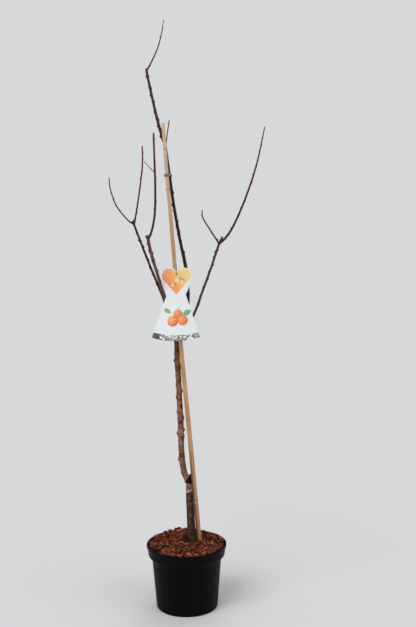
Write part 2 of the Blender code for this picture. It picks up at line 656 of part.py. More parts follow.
def label_half_outline():
    """The right half of the label's outline, (across, height), from the foot's middle to the heart's notch."""
    sagitta = LABEL_CORNER_Z - LABEL_FOOT_Z
    foot_radius = (LABEL_FOOT_HALF_WIDTH**2 + sagitta**2) / (2 * sagitta)
    sweep = math.asin(LABEL_FOOT_HALF_WIDTH / foot_radius)
    points = [
        (foot_radius * math.sin(sweep * k / 8), LABEL_FOOT_Z + foot_radius * (1 - math.cos(sweep * k / 8)))
        for k in range(9)
    ]
    points.append((LABEL_NECK_HALF_WIDTH + 0.0015, LABEL_NECK_Z - 0.004))
    points.append((LABEL_NECK_HALF_WIDTH + 0.0008, LABEL_NECK_Z + 0.002))
    lobe_x = HEART_HALF_WIDTH - (HEART_TOP_Z - HEART_WIDEST_Z)
    lobe = HEART_TOP_Z - HEART_WIDEST_Z
    points.append((HEART_HALF_WIDTH - 0.0065, HEART_WIDEST_Z - 0.030))
    points.append((HEART_HALF_WIDTH - 0.0015, HEART_WIDEST_Z - 0.012))
    for k in range(11):
        angle = math.radians(-5 + 148 * k / 10)
        points.append((lobe_x + lobe * math.cos(angle), HEART_WIDEST_Z + lobe * math.sin(angle)))
    points.append((0.0, HEART_NOTCH_Z))
    return points


def label_depth(across, height):
    """How far the label's back face lies towards -Y: it hangs down the cane and leans out over the limbs."""
    drop = max(0.0, HEART_WIDEST_Z - height)
    lean = LABEL_LEAN * (math.sqrt(drop * drop + LABEL_LEAN_BEND**2) - LABEL_LEAN_BEND)
    return LABEL_BACK_Y - lean + LABEL_BOW * across * across * min(1.0, drop / 0.10)


def label_middle(height):
    """Where the label's middle line lies along X: below the heart it has swung a little to the left."""
    return LABEL_CENTRE_X - LABEL_SWING * max(0.0, HEART_WIDEST_Z - height)


def make_label(collection, cutters, card):
    """A thin bowed sheet, cut to the heart and skirt outline, with its hanging hole."""
    columns, rows = 12, 14
    width, low, high = 2 * LABEL_FOOT_HALF_WIDTH + 0.01, LABEL_FOOT_Z - 0.004, HEART_TOP_Z + 0.004
    bm = bmesh.new()
    flat = Matrix.Translation((0, 0, (low + high) / 2)) @ Matrix.Rotation(math.pi / 2, 4, "X")
    size = Matrix.Diagonal((width / 2, (high - low) / 2, 1.0, 1.0))
    bmesh.ops.create_grid(bm, x_segments=columns, y_segments=rows, size=1.0, matrix=flat @ size)
    for vertex in bm.verts:
        vertex.co.y = label_depth(vertex.co.x, vertex.co.z) - LABEL_THICKNESS / 2
        vertex.co.x += label_middle(vertex.co.z)
    label = mesh_object("label", bm, collection)
    shell = label.modifiers.new("Solidify", "SOLIDIFY")
    shell.thickness = LABEL_THICKNESS
    shell.offset = 0.0
    half = label_half_outline()
    outline = [*half, *[(-x, z) for x, z in reversed(half[1:-1])]]
    cutter = flat_band("label_outline", [[(x + label_middle(z), z) for x, z in outline]], 0.15, cutters)
    cutter.data.transform(Matrix.Rotation(math.pi / 2, 4, "X"))
    boolean(label, cutter, "INTERSECT")
    bm = bmesh.new()
    place = Matrix.Translation((LABEL_CENTRE_X, 0.0, LABEL_HOLE_Z)) @ Matrix.Rotation(math.pi / 2, 4, "X")
    bmesh.ops.create_cone(
        bm, cap_ends=True, segments=14, radius1=LABEL_HOLE_RADIUS, radius2=LABEL_HOLE_RADIUS, depth=0.1, matrix=place
    )
    boolean(label, mesh_object("label_hole", bm, cutters), "DIFFERENCE")
    dress(label, card)
    return label


def make_label_tie(collection, tie_material):
    """A wire loop from round the cane, through the label's hole and back over the heart's notch."""
    z = LABEL_HOLE_Z
    loop = [
        (-0.0245, 0.0100, z + 0.003), (-0.0170, 0.0085, z + 0.002), (-0.0155, 0.0030, z + 0.001),
        (-0.0170, -0.0020, z), (-0.0193, -0.0058, z), (-0.0205, -0.0078, z),
        (-0.0207, -0.0098, z + 0.001), (-0.0209, -0.0105, z + 0.004), (-0.0208, -0.0105, z + 0.0095),
        (-0.0206, -0.0090, z + 0.0145), (-0.0212, -0.0064, z + 0.0150), (-0.0255, -0.0060, z + 0.0135),
        (-0.0305, -0.0036, z + 0.0110), (-0.0328, 0.0020, z + 0.0080), (-0.0300, 0.0085, z + 0.0050),
    ]
    closed = [*loop, *loop[:3]]
    points = [Vector(catmull(closed, 1 + k / 2)) for k in range(2 * len(loop))]
    return_obj = tube("label_tie", [(p, LABEL_TIE_RADIUS) for p in points], collection, 1, cyclic=True)
    dress(return_obj, tie_material)
    return return_obj


def main():
    clear_scene()
    parts = new_collection("potted_apricot_tree")
    cutters = new_collection("cutters", hidden=True)
    chips = new_collection("bark_chips", hidden=True)
    wood = new_collection("limbs_and_buds", hidden=True)
    band = new_collection("tie_ends", hidden=True)
    make_pot(parts, cutters, new_material("black_pot_plastic", (0.012, 0.014, 0.015), 0.42))
    make_soil(parts, cutters, new_material("growing_medium", (0.030, 0.020, 0.014), 0.95))
    make_mulch(parts, cutters, chips, new_material("bark_mulch", (0.165, 0.045, 0.025), 0.85))
    make_tree(parts, cutters, wood, new_material("tree_bark", (0.105, 0.045, 0.032), 0.70))
    make_graft_seal(parts, cutters, new_material("wound_sealant", (0.010, 0.012, 0.012), 0.45))
    make_cane(parts, cutters, new_material("bamboo", (0.54, 0.29, 0.12), 0.50))
    make_tie(parts, band, new_material("green_tie_band", (0.035, 0.11, 0.075), 0.45))
    make_label(parts, cutters, new_material("label_card", (0.80, 0.82, 0.83), 0.40))
    make_label_tie(parts, new_material("label_wire", (0.03, 0.05, 0.04), 0.45))


main()
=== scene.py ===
import math
import random

import bmesh
import bpy
from mathutils import Matrix, Vector, noise


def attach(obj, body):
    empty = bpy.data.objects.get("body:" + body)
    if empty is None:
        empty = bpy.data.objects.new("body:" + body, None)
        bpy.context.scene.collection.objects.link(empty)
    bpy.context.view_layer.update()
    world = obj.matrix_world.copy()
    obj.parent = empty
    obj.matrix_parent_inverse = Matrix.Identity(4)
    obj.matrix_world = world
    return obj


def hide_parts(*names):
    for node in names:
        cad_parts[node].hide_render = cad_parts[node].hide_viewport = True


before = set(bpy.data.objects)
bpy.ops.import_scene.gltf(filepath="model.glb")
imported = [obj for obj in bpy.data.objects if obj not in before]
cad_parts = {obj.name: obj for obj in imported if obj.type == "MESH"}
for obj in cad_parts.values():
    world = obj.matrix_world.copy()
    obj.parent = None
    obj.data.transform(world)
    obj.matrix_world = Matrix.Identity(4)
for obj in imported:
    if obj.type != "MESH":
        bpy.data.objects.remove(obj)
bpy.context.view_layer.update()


class Wire:  # one output of a node, so that shader maths reads as plain sums
    def __init__(self, paint, socket):
        self.paint, self.socket = paint, socket

    def calc(self, operation, *values):
        return self.paint.node("Math", {"operation": operation}, dict(enumerate(values)))

    def __add__(self, other):
        return self.calc("ADD", self, other)

    def __sub__(self, other):
        return self.calc("SUBTRACT", self, other)

    def __rsub__(self, other):
        return self.calc("SUBTRACT", other, self)

    def __mul__(self, other):
        return self.calc("MULTIPLY", self, other)

    def __truediv__(self, other):
        return self.calc("DIVIDE", self, other)

    def __rtruediv__(self, other):
        return self.calc("DIVIDE", other, self)

    def __pow__(self, other):
        return self.calc("POWER", self, other)

    def __abs__(self):
        return self.calc("ABSOLUTE", self)

    __radd__, __rmul__ = __add__, __mul__

    def least(self, other):
        return self.calc("MINIMUM", self, other)

    def most(self, other):
        return self.calc("MAXIMUM", self, other)

    def clamp(self):
        return self.most(0.0).least(1.0)

    def rise(self, low, high):  # 0 below low, 1 above high, smooth between; high below low turns it round
        flip = high < low
        values = {0: self, 1: min(low, high), 2: max(low, high), 3: float(flip), 4: float(not flip)}
        return self.paint.node("MapRange", {"interpolation_type": "SMOOTHSTEP"}, values)


class Paint:  # one material; node() adds any node
    def __init__(self, name, shine):
        self.material = bpy.data.materials.new(name)
        self.material.use_nodes = True
        self.tree = self.material.node_tree
        self.shader = self.tree.nodes["Principled BSDF"]
        self.shader.inputs["Specular IOR Level"].default_value = shine

    def plug(self, socket, value):
        if isinstance(value, Wire):
            self.tree.links.new(value.socket, socket)
        elif socket.type == "RGBA":
            socket.default_value = (*value, 1.0)
        else:
            socket.default_value = value

    def node(self, kind, settings=None, inputs=None, output=0):
        made = self.tree.nodes.new("ShaderNode" + kind)
        for key, value in (settings or {}).items():
            if key == "stops":
                ramp = made.color_ramp.elements
                while len(ramp) < len(value):
                    ramp.new(0.5)
                for stop, (position, colour) in zip(ramp, value):
                    stop.position, stop.color = position, (*colour, 1.0)
            else:
                setattr(made, key, value)
        for key, value in (inputs or {}).items():
            self.plug(made.inputs[key], value)
        return Wire(self, made.outputs[output])

    def place(self):
        return self.node("TexCoord", output="Object")

    def attribute(self, name, output="Fac"):
        return self.node("Attribute", {"attribute_name": name}, output=output)

    def part(self, vector, axis):
        return self.node("SeparateXYZ", inputs={0: vector}, output=axis)

    def space(self, vector, scale, shift=(0.0, 0.0, 0.0)):  # a pattern's space; three scales stretch it
        if not isinstance(scale, tuple):
            return {"Vector": vector, "Scale": scale}
        values = {"Vector": vector, "Scale": scale, "Location": shift}
        return {"Vector": self.node("Mapping", {}, values), "Scale": 1.0}

    def noise(self, vector, scale, detail=3.0, rough=0.55, shift=(0.0, 0.0, 0.0)):
        values = {**self.space(vector, scale, shift), "Detail": detail, "Roughness": rough}
        return self.node("TexNoise", {}, values)

    def cells(self, vector, scale, random=1.0, output="Distance", feature="F1"):
        values = {**self.space(vector, scale), "Randomness": random}
        return self.node("TexVoronoi", {"feature": feature}, values, output)

    def mix(self, share, first, second, blend="MIX"):
        settings = {"data_type": "RGBA", "blend_type": blend}
        return self.node("Mix", settings, {0: share, 6: first, 7: second}, 2)

    def coat(self, colour, *layers):  # lays (share, colour) layers over a colour, one after another
        for share, laid in layers:
            colour = self.mix(share, colour, laid)
        return colour

    def ramp(self, value, stops):
        return self.node("ValToRGB", {"stops": stops}, {0: value})

    def bump(self, height, strength, distance):
        return self.node("Bump", {}, {"Height": height, "Strength": strength, "Distance": distance})

    def dress(self, colour, roughness, normal=None):
        for socket, value in (("Base Color", colour), ("Roughness", roughness), ("Normal", normal)):
            if value is not None:
                self.plug(self.shader.inputs[socket], value)
        return self.material


def clamp(value):
    return min(1.0, max(0.0, value))


def nearest(rows, wanted, key=lambda row: row[0]):
    return min(rows, key=lambda row: abs(key(row) - wanted))


def addObject(name, data):
    obj = bpy.data.objects.new(name, data)
    bpy.context.scene.collection.objects.link(obj)
    return obj


def evaluated(obj):  # the mesh that an object's curve or modifiers make
    bpy.context.view_layer.update()
    return bpy.data.meshes.new_from_object(obj.evaluated_get(bpy.context.evaluated_depsgraph_get()))


def vertsIn(geom):
    return [item for item in geom if isinstance(item, bmesh.types.BMVert)]


def edgesOf(verts):  # in order, so each run goes alike
    return list(dict.fromkeys(edge for vert in verts for edge in vert.link_edges))


def pushRing(bm, edges):  # extrudes a ring of edges, and gives the new ring's verts and edges
    made = bmesh.ops.extrude_edge_only(bm, edges=edges)["geom"]
    return vertsIn(made), [item for item in made if isinstance(item, bmesh.types.BMEdge) and item.is_boundary]


def fillHoles(bm):
    bmesh.ops.holes_fill(bm, edges=[edge for edge in bm.edges if edge.is_boundary], sides=0)


def finishMesh(name, bm, materials, sharp=None):
    bmesh.ops.recalc_face_normals(bm, faces=bm.faces[:])
    mesh = bpy.data.meshes.new(name)
    bm.to_mesh(mesh)
    bm.free()
    for material in materials:
        mesh.materials.append(material)
    mesh.shade_smooth()
    if sharp:
        mesh.set_sharp_from_angle(angle=math.radians(sharp))
    return addObject(name, mesh)


def pour(piece, bm):  # adds a small finished bmesh to a big one, which keeps the operators quick
    mesh = bpy.data.meshes.new("poured")
    piece.to_mesh(mesh)
    piece.free()
    bm.from_mesh(mesh)
    bpy.data.meshes.remove(mesh)


def curveMesh(name, outlines, halfHeight=0.0, bevel=0.0, radius=0.0):  # flat shapes; wires if given a radius
    curve = bpy.data.curves.new(name, "CURVE")
    curve.dimensions = "3D" if radius else "2D"
    if radius:
        curve.bevel_depth, curve.bevel_resolution = radius, 3
    else:
        curve.fill_mode, curve.extrude, curve.bevel_depth = "BOTH", halfHeight, bevel
    for outline in outlines:
        spline = curve.splines.new("POLY")
        spline.points.add(len(outline) - 1)
        spline.use_cyclic_u = True
        for target, point in zip(spline.points, outline):
            target.co = (*point, *[0.0] * (3 - len(point)), 1.0)
    holder = addObject(name, curve)
    bm = bmesh.new()
    bm.from_mesh(evaluated(holder))
    bpy.data.objects.remove(holder)
    bmesh.ops.remove_doubles(bm, verts=bm.verts[:], dist=1e-6)
    return bm


def throughPoints(rows, t):  # a point of the smooth curve through rows of any length
    i = min(int(t), len(rows) - 2)
    u = t - i
    quad = rows[max(i - 1, 0)], rows[i], rows[i + 1], rows[min(i + 2, len(rows) - 1)]
    return [
        0.5 * (2 * b + (c - a) * u + (2 * a - 5 * b + 4 * c - d) * u * u + (3 * b - a - 3 * c + d) * u**3)
        for a, b, c, d in zip(*quad)
    ]


def lineLength(line):
    return sum((b[0] - a[0]).length for a, b in zip(line, line[1:]))


def evenLine(limb, step, unit=0.001):  # (point, radius) pairs, evenly spaced along a limb's smooth curve
    rows = [[value * unit for value in row] for row in limb]
    fine = [throughPoints(rows, k / 40) for k in range(40 * (len(rows) - 1) + 1)]
    runs = [0.0]
    for a, b in zip(fine, fine[1:]):
        runs.append(runs[-1] + (Vector(b[:3]) - Vector(a[:3])).length)
    count = max(2, round(runs[-1] / step))
    line, k = [], 0
    for i in range(count + 1):
        wanted = runs[-1] * i / count
        while k < len(runs) - 2 and runs[k + 1] < wanted:
            k += 1
        share = (wanted - runs[k]) / max(runs[k + 1] - runs[k], 1e-9)
        row = [p + (q - p) * share for p, q in zip(fine[k], fine[k + 1])]
        line.append((Vector(row[:3]), row[3]))
    return line


def startMesh(*names):  # an empty mesh whose verts know their place on their own grain, and more by name
    bm = bmesh.new()
    bm.verts.layers.float_vector.new("grainSpace")
    for name in names:
        bm.verts.layers.float.new(name)
    return bm, bm.verts.layers.float_vector["grainSpace"], *[bm.verts.layers.float[name] for name in names]


def startTubes():  # the grain runs round and along a limb, in metres
    return startMesh("age", "mark", "turn")


def growTube(whole, line, sides, look, seed=0.0, bulges=(), skin=None):
    # a bulge is (run, turn, height, length, width, mark); skin gives a factor from turn, run, radius and seed
    bm, space, ages, marks, turns = startTubes()
    ring = bmesh.ops.create_circle(bm, segments=sides, radius=1.0)["verts"]
    for vert in ring:
        vert[turns] = math.atan2(vert.co.y, vert.co.x) % math.tau
    edges = openEnd = edgesOf(ring)
    side, run, frames = Vector((1.0, 0.0, 0.0)), 0.0, []
    total = lineLength(line)
    for k, (point, radius) in enumerate(line):
        ahead = (line[min(k + 1, len(line) - 1)][0] - line[max(k - 1, 0)][0]).normalized()
        side = (side - ahead * side.dot(ahead)).normalized()
        across = ahead.cross(side)
        if k:
            run += (point - line[k - 1][0]).length
            ring, edges = pushRing(bm, edges)
        near = [bulge for bulge in bulges if abs(bulge[0] - run) < 3 * bulge[3]]
        age = look["age"][0] + (look["age"][1] - look["age"][0]) * run / total
        flare = 1.0 + look.get("flare", 0.0) * math.exp(-run / look.get("flareLength", 0.008))
        for vert in ring:
            turn = vert[turns]
            around = Vector((math.cos(turn) * radius, math.sin(turn) * radius, run))
            reach = radius * flare * (1.0 + (skin(turn, run, radius, seed) if skin else 0.0))
            mark = 0.0
            for at, facing, height, length, width, strength in near:
                apart = (turn - facing + math.pi) % math.tau - math.pi
                swell = math.exp(-((run - at) / length) ** 2 - (apart / width) ** 2)
                reach += height * swell
                mark += strength * swell
            vert.co = point + (side * math.cos(turn) + across * math.sin(turn)) * reach
            vert[space] = around + Vector((seed, seed * 0.7, seed * 1.3))
            vert[ages], vert[marks] = age, mark
        frames.append((point, radius, side.copy(), across, ahead, run))
    for share, lift in look.get("dome", ()):  # closes a cut end in one or more smaller rings
        ring, edges = pushRing(bm, edges)
        for vert in ring:
            vert.co = point + (vert.co - point) * share + ahead * lift * radius
            vert[marks] = look.get("cutMark", 0.0)
    bmesh.ops.holes_fill(bm, edges=openEnd + edges, sides=0)
    pour(bm, whole)
    return frames


def spot(frames, run, turn, sink=0.0):  # a place on a limb's skin, and which way is out and ahead there
    point, radius, side, across, ahead, _ = nearest(frames, run, lambda row: row[5])
    out = side * math.cos(turn) + across * math.sin(turn)
    return point + out * (radius - sink), out, ahead


def lean(place, out, ahead, share):  # a matrix at place whose Z lies between ahead and out
    heading = (ahead * (1.0 - share) + out * share).normalized()
    return Matrix.Translation(place) @ heading.to_track_quat("Z", "Y").to_matrix().to_4x4()


def setStage():
    stage = {
        "cameraAt": (0.0756, -2.95, 1.2843), "pitch": 6.574, "roll": 0.55, "lens": 54.79, "sensor": 36.0,
        "floor": (0.69, 0.694, 0.7), "seen": (0.6777, 0.6876, 0.7022), "air": (0.95, 0.97, 1.0),
        "airPower": 0.45, "floorReach": 40.0,
        "suns": [  # name, turn from the front, height, softness, power
            ("keyLight", -38.0, 48.0, 38.0, 1.45), ("fillLight", 55.0, 30.0, 50.0, 0.56),
            ("backLight", 165.0, 50.0, 45.0, 0.5),
        ],
    }
    scene = bpy.context.scene
    lens = bpy.data.cameras.new("camera")
    lens.sensor_fit, lens.sensor_height, lens.lens = "VERTICAL", stage["sensor"], stage["lens"]
    scene.camera = addObject("camera", lens)
    tilt = Matrix.Rotation(math.radians(90 - stage["pitch"]), 4, "X")
    roll = Matrix.Rotation(math.radians(-stage["roll"]), 4, "Z")
    scene.camera.matrix_world = Matrix.Translation(stage["cameraAt"]) @ tilt @ roll
    scene.view_settings.view_transform = "Standard"
    scene.world = bpy.data.worlds.new("studio")
    scene.world.use_nodes = True
    nodes, links = scene.world.node_tree.nodes, scene.world.node_tree.links
    light = nodes["Background"]
    light.inputs["Color"].default_value = (*stage["air"], 1.0)
    light.inputs["Strength"].default_value = stage["airPower"]
    seen, ray, blend = (nodes.new("ShaderNode" + kind) for kind in ("Background", "LightPath", "MixShader"))
    seen.inputs["Color"].default_value = (*stage["seen"], 1.0)  # the backdrop's look, apart from its light
    links.new(ray.outputs["Is Camera Ray"], blend.inputs[0])
    links.new(light.outputs[0], blend.inputs[1])
    links.new(seen.outputs[0], blend.inputs[2])
    links.new(blend.outputs[0], nodes["World Output"].inputs["Surface"])
    for name, around, rise, soft, power in stage["suns"]:
        lamp = bpy.data.lights.new(name, "SUN")
        lamp.angle, lamp.energy = math.radians(soft), power
        spin = Matrix.Rotation(math.radians(around), 4, "Z")
        addObject(name, lamp).matrix_world = spin @ Matrix.Rotation(math.radians(90 - rise), 4, "X")
    paint = Paint("paleFloor", 0.0)
    bm = bmesh.new()
    bmesh.ops.create_circle(bm, cap_ends=True, segments=96, radius=stage["floorReach"])
    floor = finishMesh("floor", bm, [paint.dress(stage["floor"], 1.0)])
    print("stage set")


def potPlastic():
    look = {
        "black": (0.0011, 0.0018, 0.0023), "dust": (0.032, 0.042, 0.039), "dustShare": 0.12,
        "gloss": 0.44, "glossSpread": 0.14, "dustRough": 0.22, "paintedSheen": (0.003, 0.026, 0.024),
    }
    paint = Paint("satinBlackPlastic", 0.06)
    place = paint.place()
    height = paint.part(place, "Z")
    cloud = paint.noise(place, 11.0, 5.0, 0.6)
    speck = paint.noise(place, 420.0, 3.0, 0.7)
    drip = paint.noise(place, (55.0, 55.0, 5.0), 4.0)
    lines = paint.noise(place, (1.0, 1.0, 900.0), 1.0)  # as a mould's turned face leaves them
    foot = height.rise(0.03, 0.0) * 0.5
    dust = ((cloud.rise(0.5, 0.72) + foot) * speck.rise(0.42, 0.68) * drip.rise(0.35, 0.6)).least(1.0)
    # painted sheen: the collar's left and right sides are lightened to a teal-grey, a painted reflection of
    # the bright room
    side = abs(paint.part(place, "X")).rise(0.098, 0.121) * height.rise(0.172, 0.188)
    colour = paint.coat(
        look["black"], (dust * look["dustShare"], look["dust"]),
        (side * cloud.rise(0.32, 0.56) * 0.75, look["paintedSheen"]),
    )
    rough = cloud * look["glossSpread"] + dust * look["dustRough"] + look["gloss"]
    return paint.dress(colour, rough, paint.bump(lines * 0.25 + speck * 0.5 + drip * 0.8, 0.1, 0.0006))


def makePot(plastic):
    pot = {  # radius and height in mm; a round has its centre, its reach and the angles of its points
        "lip": (126.0, 204.6, -1.4, 1.4, range(0, 161, 20)),
        "bead": [
            (127.4, 204.4), (127.5, 201.5), (127.4, 198.4), (126.8, 197.3), (125.2, 196.7), (124.6, 195.6),
        ],
        "collar": (124.6, 197.0, 122.8, 179.7, 4), "shoulder": (110.6, 179.7, 12.2, -16.2, range(0, 86, 12)),
        "waist": (110.6, 162.3), "body": (110.6, 163.5, 98.1, 5.0, 9),
        "corner": (93.1, 5.0, 5.0, -5.0, range(0, 91, 15)),
        "under": [(89, 0), (88, 0.6), (87, 0.8), (58, 0.8), (57.5, 0.3), (55, 0.3), (54.5, 0.8), (0, 0.8)],
        "inner": [
            (0, 2.8), (86, 2.8), (91.5, 5), (95.5, 10), (108.6, 164.5), (112.6, 169.7), (119.8, 178.2),
            (122.6, 196), (123.8, 202),
        ],
        "steps": 144, "holes": 8, "holeRadius": 0.0065, "holeRing": 0.074, "sharp": 42,
    }

    def bend(cx, cz, reachX, reachZ, turns):
        angles = [math.radians(turn) for turn in turns]
        return [(cx + reachX * math.cos(angle), cz + reachZ * math.sin(angle)) for angle in angles]

    def between(ra, za, rb, zb, cuts):
        return [(ra + (rb - ra) * k / cuts, za + (zb - za) * k / cuts) for k in range(1, cuts)]

    profile = [
        *bend(*pot["lip"]), *pot["bead"], *between(*pot["collar"]), *bend(*pot["shoulder"]), pot["waist"],
        *between(*pot["body"]), *bend(*pot["corner"]), *pot["under"], *pot["inner"],
    ]
    bm = bmesh.new()
    verts = [bmesh.ops.create_vert(bm, co=(r / 1000, 0.0, z / 1000))["vert"][0] for r, z in profile]
    pairs = zip(verts, [*verts[1:], verts[0]])
    chain = [bm.edges.new(pair) for pair in pairs if pair[0].co.x + pair[1].co.x > 0]
    bmesh.ops.spin(
        bm, geom=[*verts, *chain], cent=(0, 0, 0), axis=(0, 0, 1), dvec=(0, 0, 0), angle=math.tau,
        steps=pot["steps"], use_merge=True, use_normal_flip=False, use_duplicate=False,
    )
    bmesh.ops.remove_doubles(bm, verts=bm.verts[:], dist=1e-5)
    body = finishMesh("nurseryPot", bm, [plastic])
    bm = bmesh.new()
    for k in range(pot["holes"]):
        angle, ring, size = math.tau * (k + 0.5) / pot["holes"], pot["holeRing"], pot["holeRadius"]
        bmesh.ops.create_cone(
            bm, cap_ends=True, segments=28, radius1=size, radius2=size, depth=0.02,
            matrix=Matrix.Translation((ring * math.cos(angle), ring * math.sin(angle), 0.001)),
        )
    cutter = finishMesh("holeCutter", bm, [plastic])
    cut = body.modifiers.new("holes", "BOOLEAN")
    cut.operation, cut.solver, cut.object = "DIFFERENCE", "EXACT", cutter
    mesh = evaluated(body)
    body.modifiers.clear()
    body.data = mesh
    mesh.name = "nurseryPot"
    bpy.data.objects.remove(cutter)
    mesh.shade_smooth()
    mesh.set_sharp_from_angle(angle=math.radians(pot["sharp"]))
    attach(body, "root")
    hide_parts("pot")
    print("pot turned")


def soilCrumb():
    paint = Paint("darkGrowingMedium", 0.2)
    place = paint.place()
    crumb = paint.cells(place, 260.0)
    fibre = paint.noise(place, (210.0, 210.0, 630.0), 4.0, 0.7)
    colour = paint.ramp(
        fibre * 0.6 + crumb * 0.6,
        [(0.25, (0.006, 0.004, 0.003)), (0.52, (0.026, 0.016, 0.01)), (0.75, (0.075, 0.046, 0.028))],
    )
    return paint.dress(colour, crumb * 0.1 + 0.88, paint.bump(crumb + fibre, 0.8, 0.002))


def chipBark():
    look = {
        "stops": [
            (0.0, (0.012, 0.004, 0.002)), (0.24, (0.066, 0.013, 0.006)), (0.46, (0.18, 0.028, 0.009)),
            (0.68, (0.295, 0.062, 0.024)), (0.86, (0.42, 0.135, 0.074)), (1.0, (0.58, 0.225, 0.155)),
        ],
        "fibre": (26.0, 900.0, 420.0), "tan": (0.25, 0.102, 0.038), "dusk": (0.074, 0.012, 0.005),
        "deep": (0.005, 0.0028, 0.0018),
    }
    paint = Paint("redBrownBark", 0.12)
    grain = paint.attribute("grainSpace", "Vector")
    strand = paint.noise(grain, look["fibre"], 4.0, 0.7)
    blotch = paint.noise(grain, 160.0)
    kind = paint.noise(grain, 1.7, 1.0)  # each chip lies elsewhere in this noise, so it takes one hue
    shade = paint.attribute("tint") + (strand - 0.5) * 0.85 + (blotch - 0.5) * 0.55
    colour = paint.coat(
        paint.ramp(shade, look["stops"]), (kind.rise(0.55, 0.62) * 0.68, look["tan"]),
        # the hollow layer is mostly painted shade under and between chips and in the pit by the rim, with the
        # real dark of the soil by the stem and of a few dark chips
        (kind.rise(0.44, 0.38) * 0.55, look["dusk"]), (paint.attribute("hollow"), look["deep"]),
    )
    return paint.dress(colour, strand * 0.2 + 0.7, paint.bump(strand + blotch * 0.5, 0.75, 0.0011))


mulchBed = {
    "edge": 0.204, "mound": 0.005, "reach": 0.1208, "wall": 0.1221, "stem": (0.0192, 0.024),
    "cane": (0.041, 0.0069), "pit": (-0.097, -0.063), "pitSpread": 0.021,
    "heaps": [  # x, y, rise and spread
        (-0.02, 0.104, 0.0058, 0.062), (0.044, -0.003, 0.005, 0.013), (0.02, 0.002, -0.002, 0.017),
        (-0.007, 0.027, 0.0045, 0.013), (0.044, 0.03, 0.004, 0.013), (-0.097, -0.063, -0.0105, 0.02),
    ],
    "laid": [  # the larger chips: x, y, turn, length, width, thickness, lift, in mm; tint, dark
        (-31, 117, 20, 20, 8.5, 5, 3.4, 0.05, 0.85), (-40, 113, 70, 13, 7, 4, 4, 0.05, 0.7),
        (-103, 63, 60, 18, 9, 4, 4, 1, 0), (-26, 94, 10, 24, 11, 4.5, 3.5, 0.92, 0),
        (-55, 98, 155, 21, 9.5, 4, 3.5, 0.72, 0), (10, -106, 160, 22, 10, 4.2, 3.5, 1, 0),
        (32, -109, 15, 17, 8.5, 4, 3, 0.8, 0), (-72, -74, 130, 24, 12, 5, 3.5, 0.78, 0),
        (-18, -6, 25, 23, 9, 4, 3, 0.9, 0), (-45, -20, 115, 21, 10, 4, 3, 0.3, 0),
        (80, -14, 100, 19, 9, 4, 3, 0.88, 0), (109, 47, 115, 18, 8, 4, 3.5, 0.95, 0),
        (60, -60, 40, 24, 11, 4.5, 3, 0.7, 0), (20, -60, 75, 22, 10, 4.5, 3, 0.58, 0),
        (-70, 20, 5, 23, 11, 4, 3, 0.66, 0), (75, 70, 140, 22, 10, 4, 3, 0.62, 0),
    ],
}


def mulchTop(x, y):  # how high the bark lies: heaps by the stem and the cane, and a hollow at the rim
    swell = 0.0018 * noise.noise(Vector((x, y, 0.3)) * 22.0)
    swell += 0.0011 * noise.noise(Vector((x, y, 7.1)) * 55.0)
    for cx, cy, rise, spread in mulchBed["heaps"]:
        swell += rise * math.exp(-((x - cx) ** 2 + (y - cy) ** 2) / spread**2)
    return mulchBed["edge"] + mulchBed["mound"] * (1 - min(math.hypot(x, y) / 0.121, 1.0) ** 2) + swell


def layChip(whole, draw, at, heading, size, lift, steep, shade, dark):  # one rough slab of bark
    chip, space, tint, hollow = startMesh("tint", "hollow")
    bmesh.ops.create_circle(chip, cap_ends=True, segments=draw.choice((5, 6, 7)), radius=0.5)
    for vert in chip.verts:
        vert.co.x *= draw.uniform(0.75, 1.12)
        vert.co.y *= draw.uniform(0.75, 1.15)
    made = bmesh.ops.extrude_face_region(chip, geom=chip.faces[:], use_keep_orig=True)["geom"]
    for vert in vertsIn(made):
        vert.co.z += 1.0
        vert.co.x *= draw.uniform(0.82, 1.0)
        vert.co.y *= draw.uniform(0.72, 1.0)
    topFace = [item for item in made if isinstance(item, bmesh.types.BMFace)]
    bmesh.ops.inset_region(chip, faces=topFace, thickness=0.16, depth=0.0, use_even_offset=False)
    for vert in dict.fromkeys(vert for face in topFace for vert in face.verts):  # in order, for the draws
        vert.co.z += draw.uniform(0.0, 0.45)
    bow = draw.uniform(-0.9, 0.9)
    turn = Matrix.Rotation(heading, 4, "Z")
    for spread, axis in ((steep, "Y"), (steep * 1.2, "X")):
        turn = turn @ Matrix.Rotation(draw.gauss(0, spread), 4, axis)
    place = Vector((at[0], at[1], mulchTop(*at) - 0.0028 + lift))
    offset = Vector((draw.uniform(0, 9), draw.uniform(0, 9), draw.uniform(0, 9)))
    for vert in chip.verts:
        local = Vector((vert.co.x * size[0], vert.co.y * size[1], vert.co.z * size[2]))
        vert[space] = local + offset
        vert[tint] = shade + draw.uniform(-0.05, 0.05)
        # a chip's lower half is darkened: painted shade under it; dark adds the painted shade of lower layers
        # and the pit, the soil by the stem and the dark laid chips
        vert[hollow] = max(0.0 if vert.co.z > 0.5 else 0.72, dark)
        local.z += bow * local.x * local.x * 12.0
        vert.co = place + (turn @ local)
        out = math.hypot(vert.co.x, vert.co.y)
        if out > mulchBed["wall"]:  # nothing goes through the pot's wall
            vert.co.x *= mulchBed["wall"] / out
            vert.co.y *= mulchBed["wall"] / out
    pour(chip, whole)


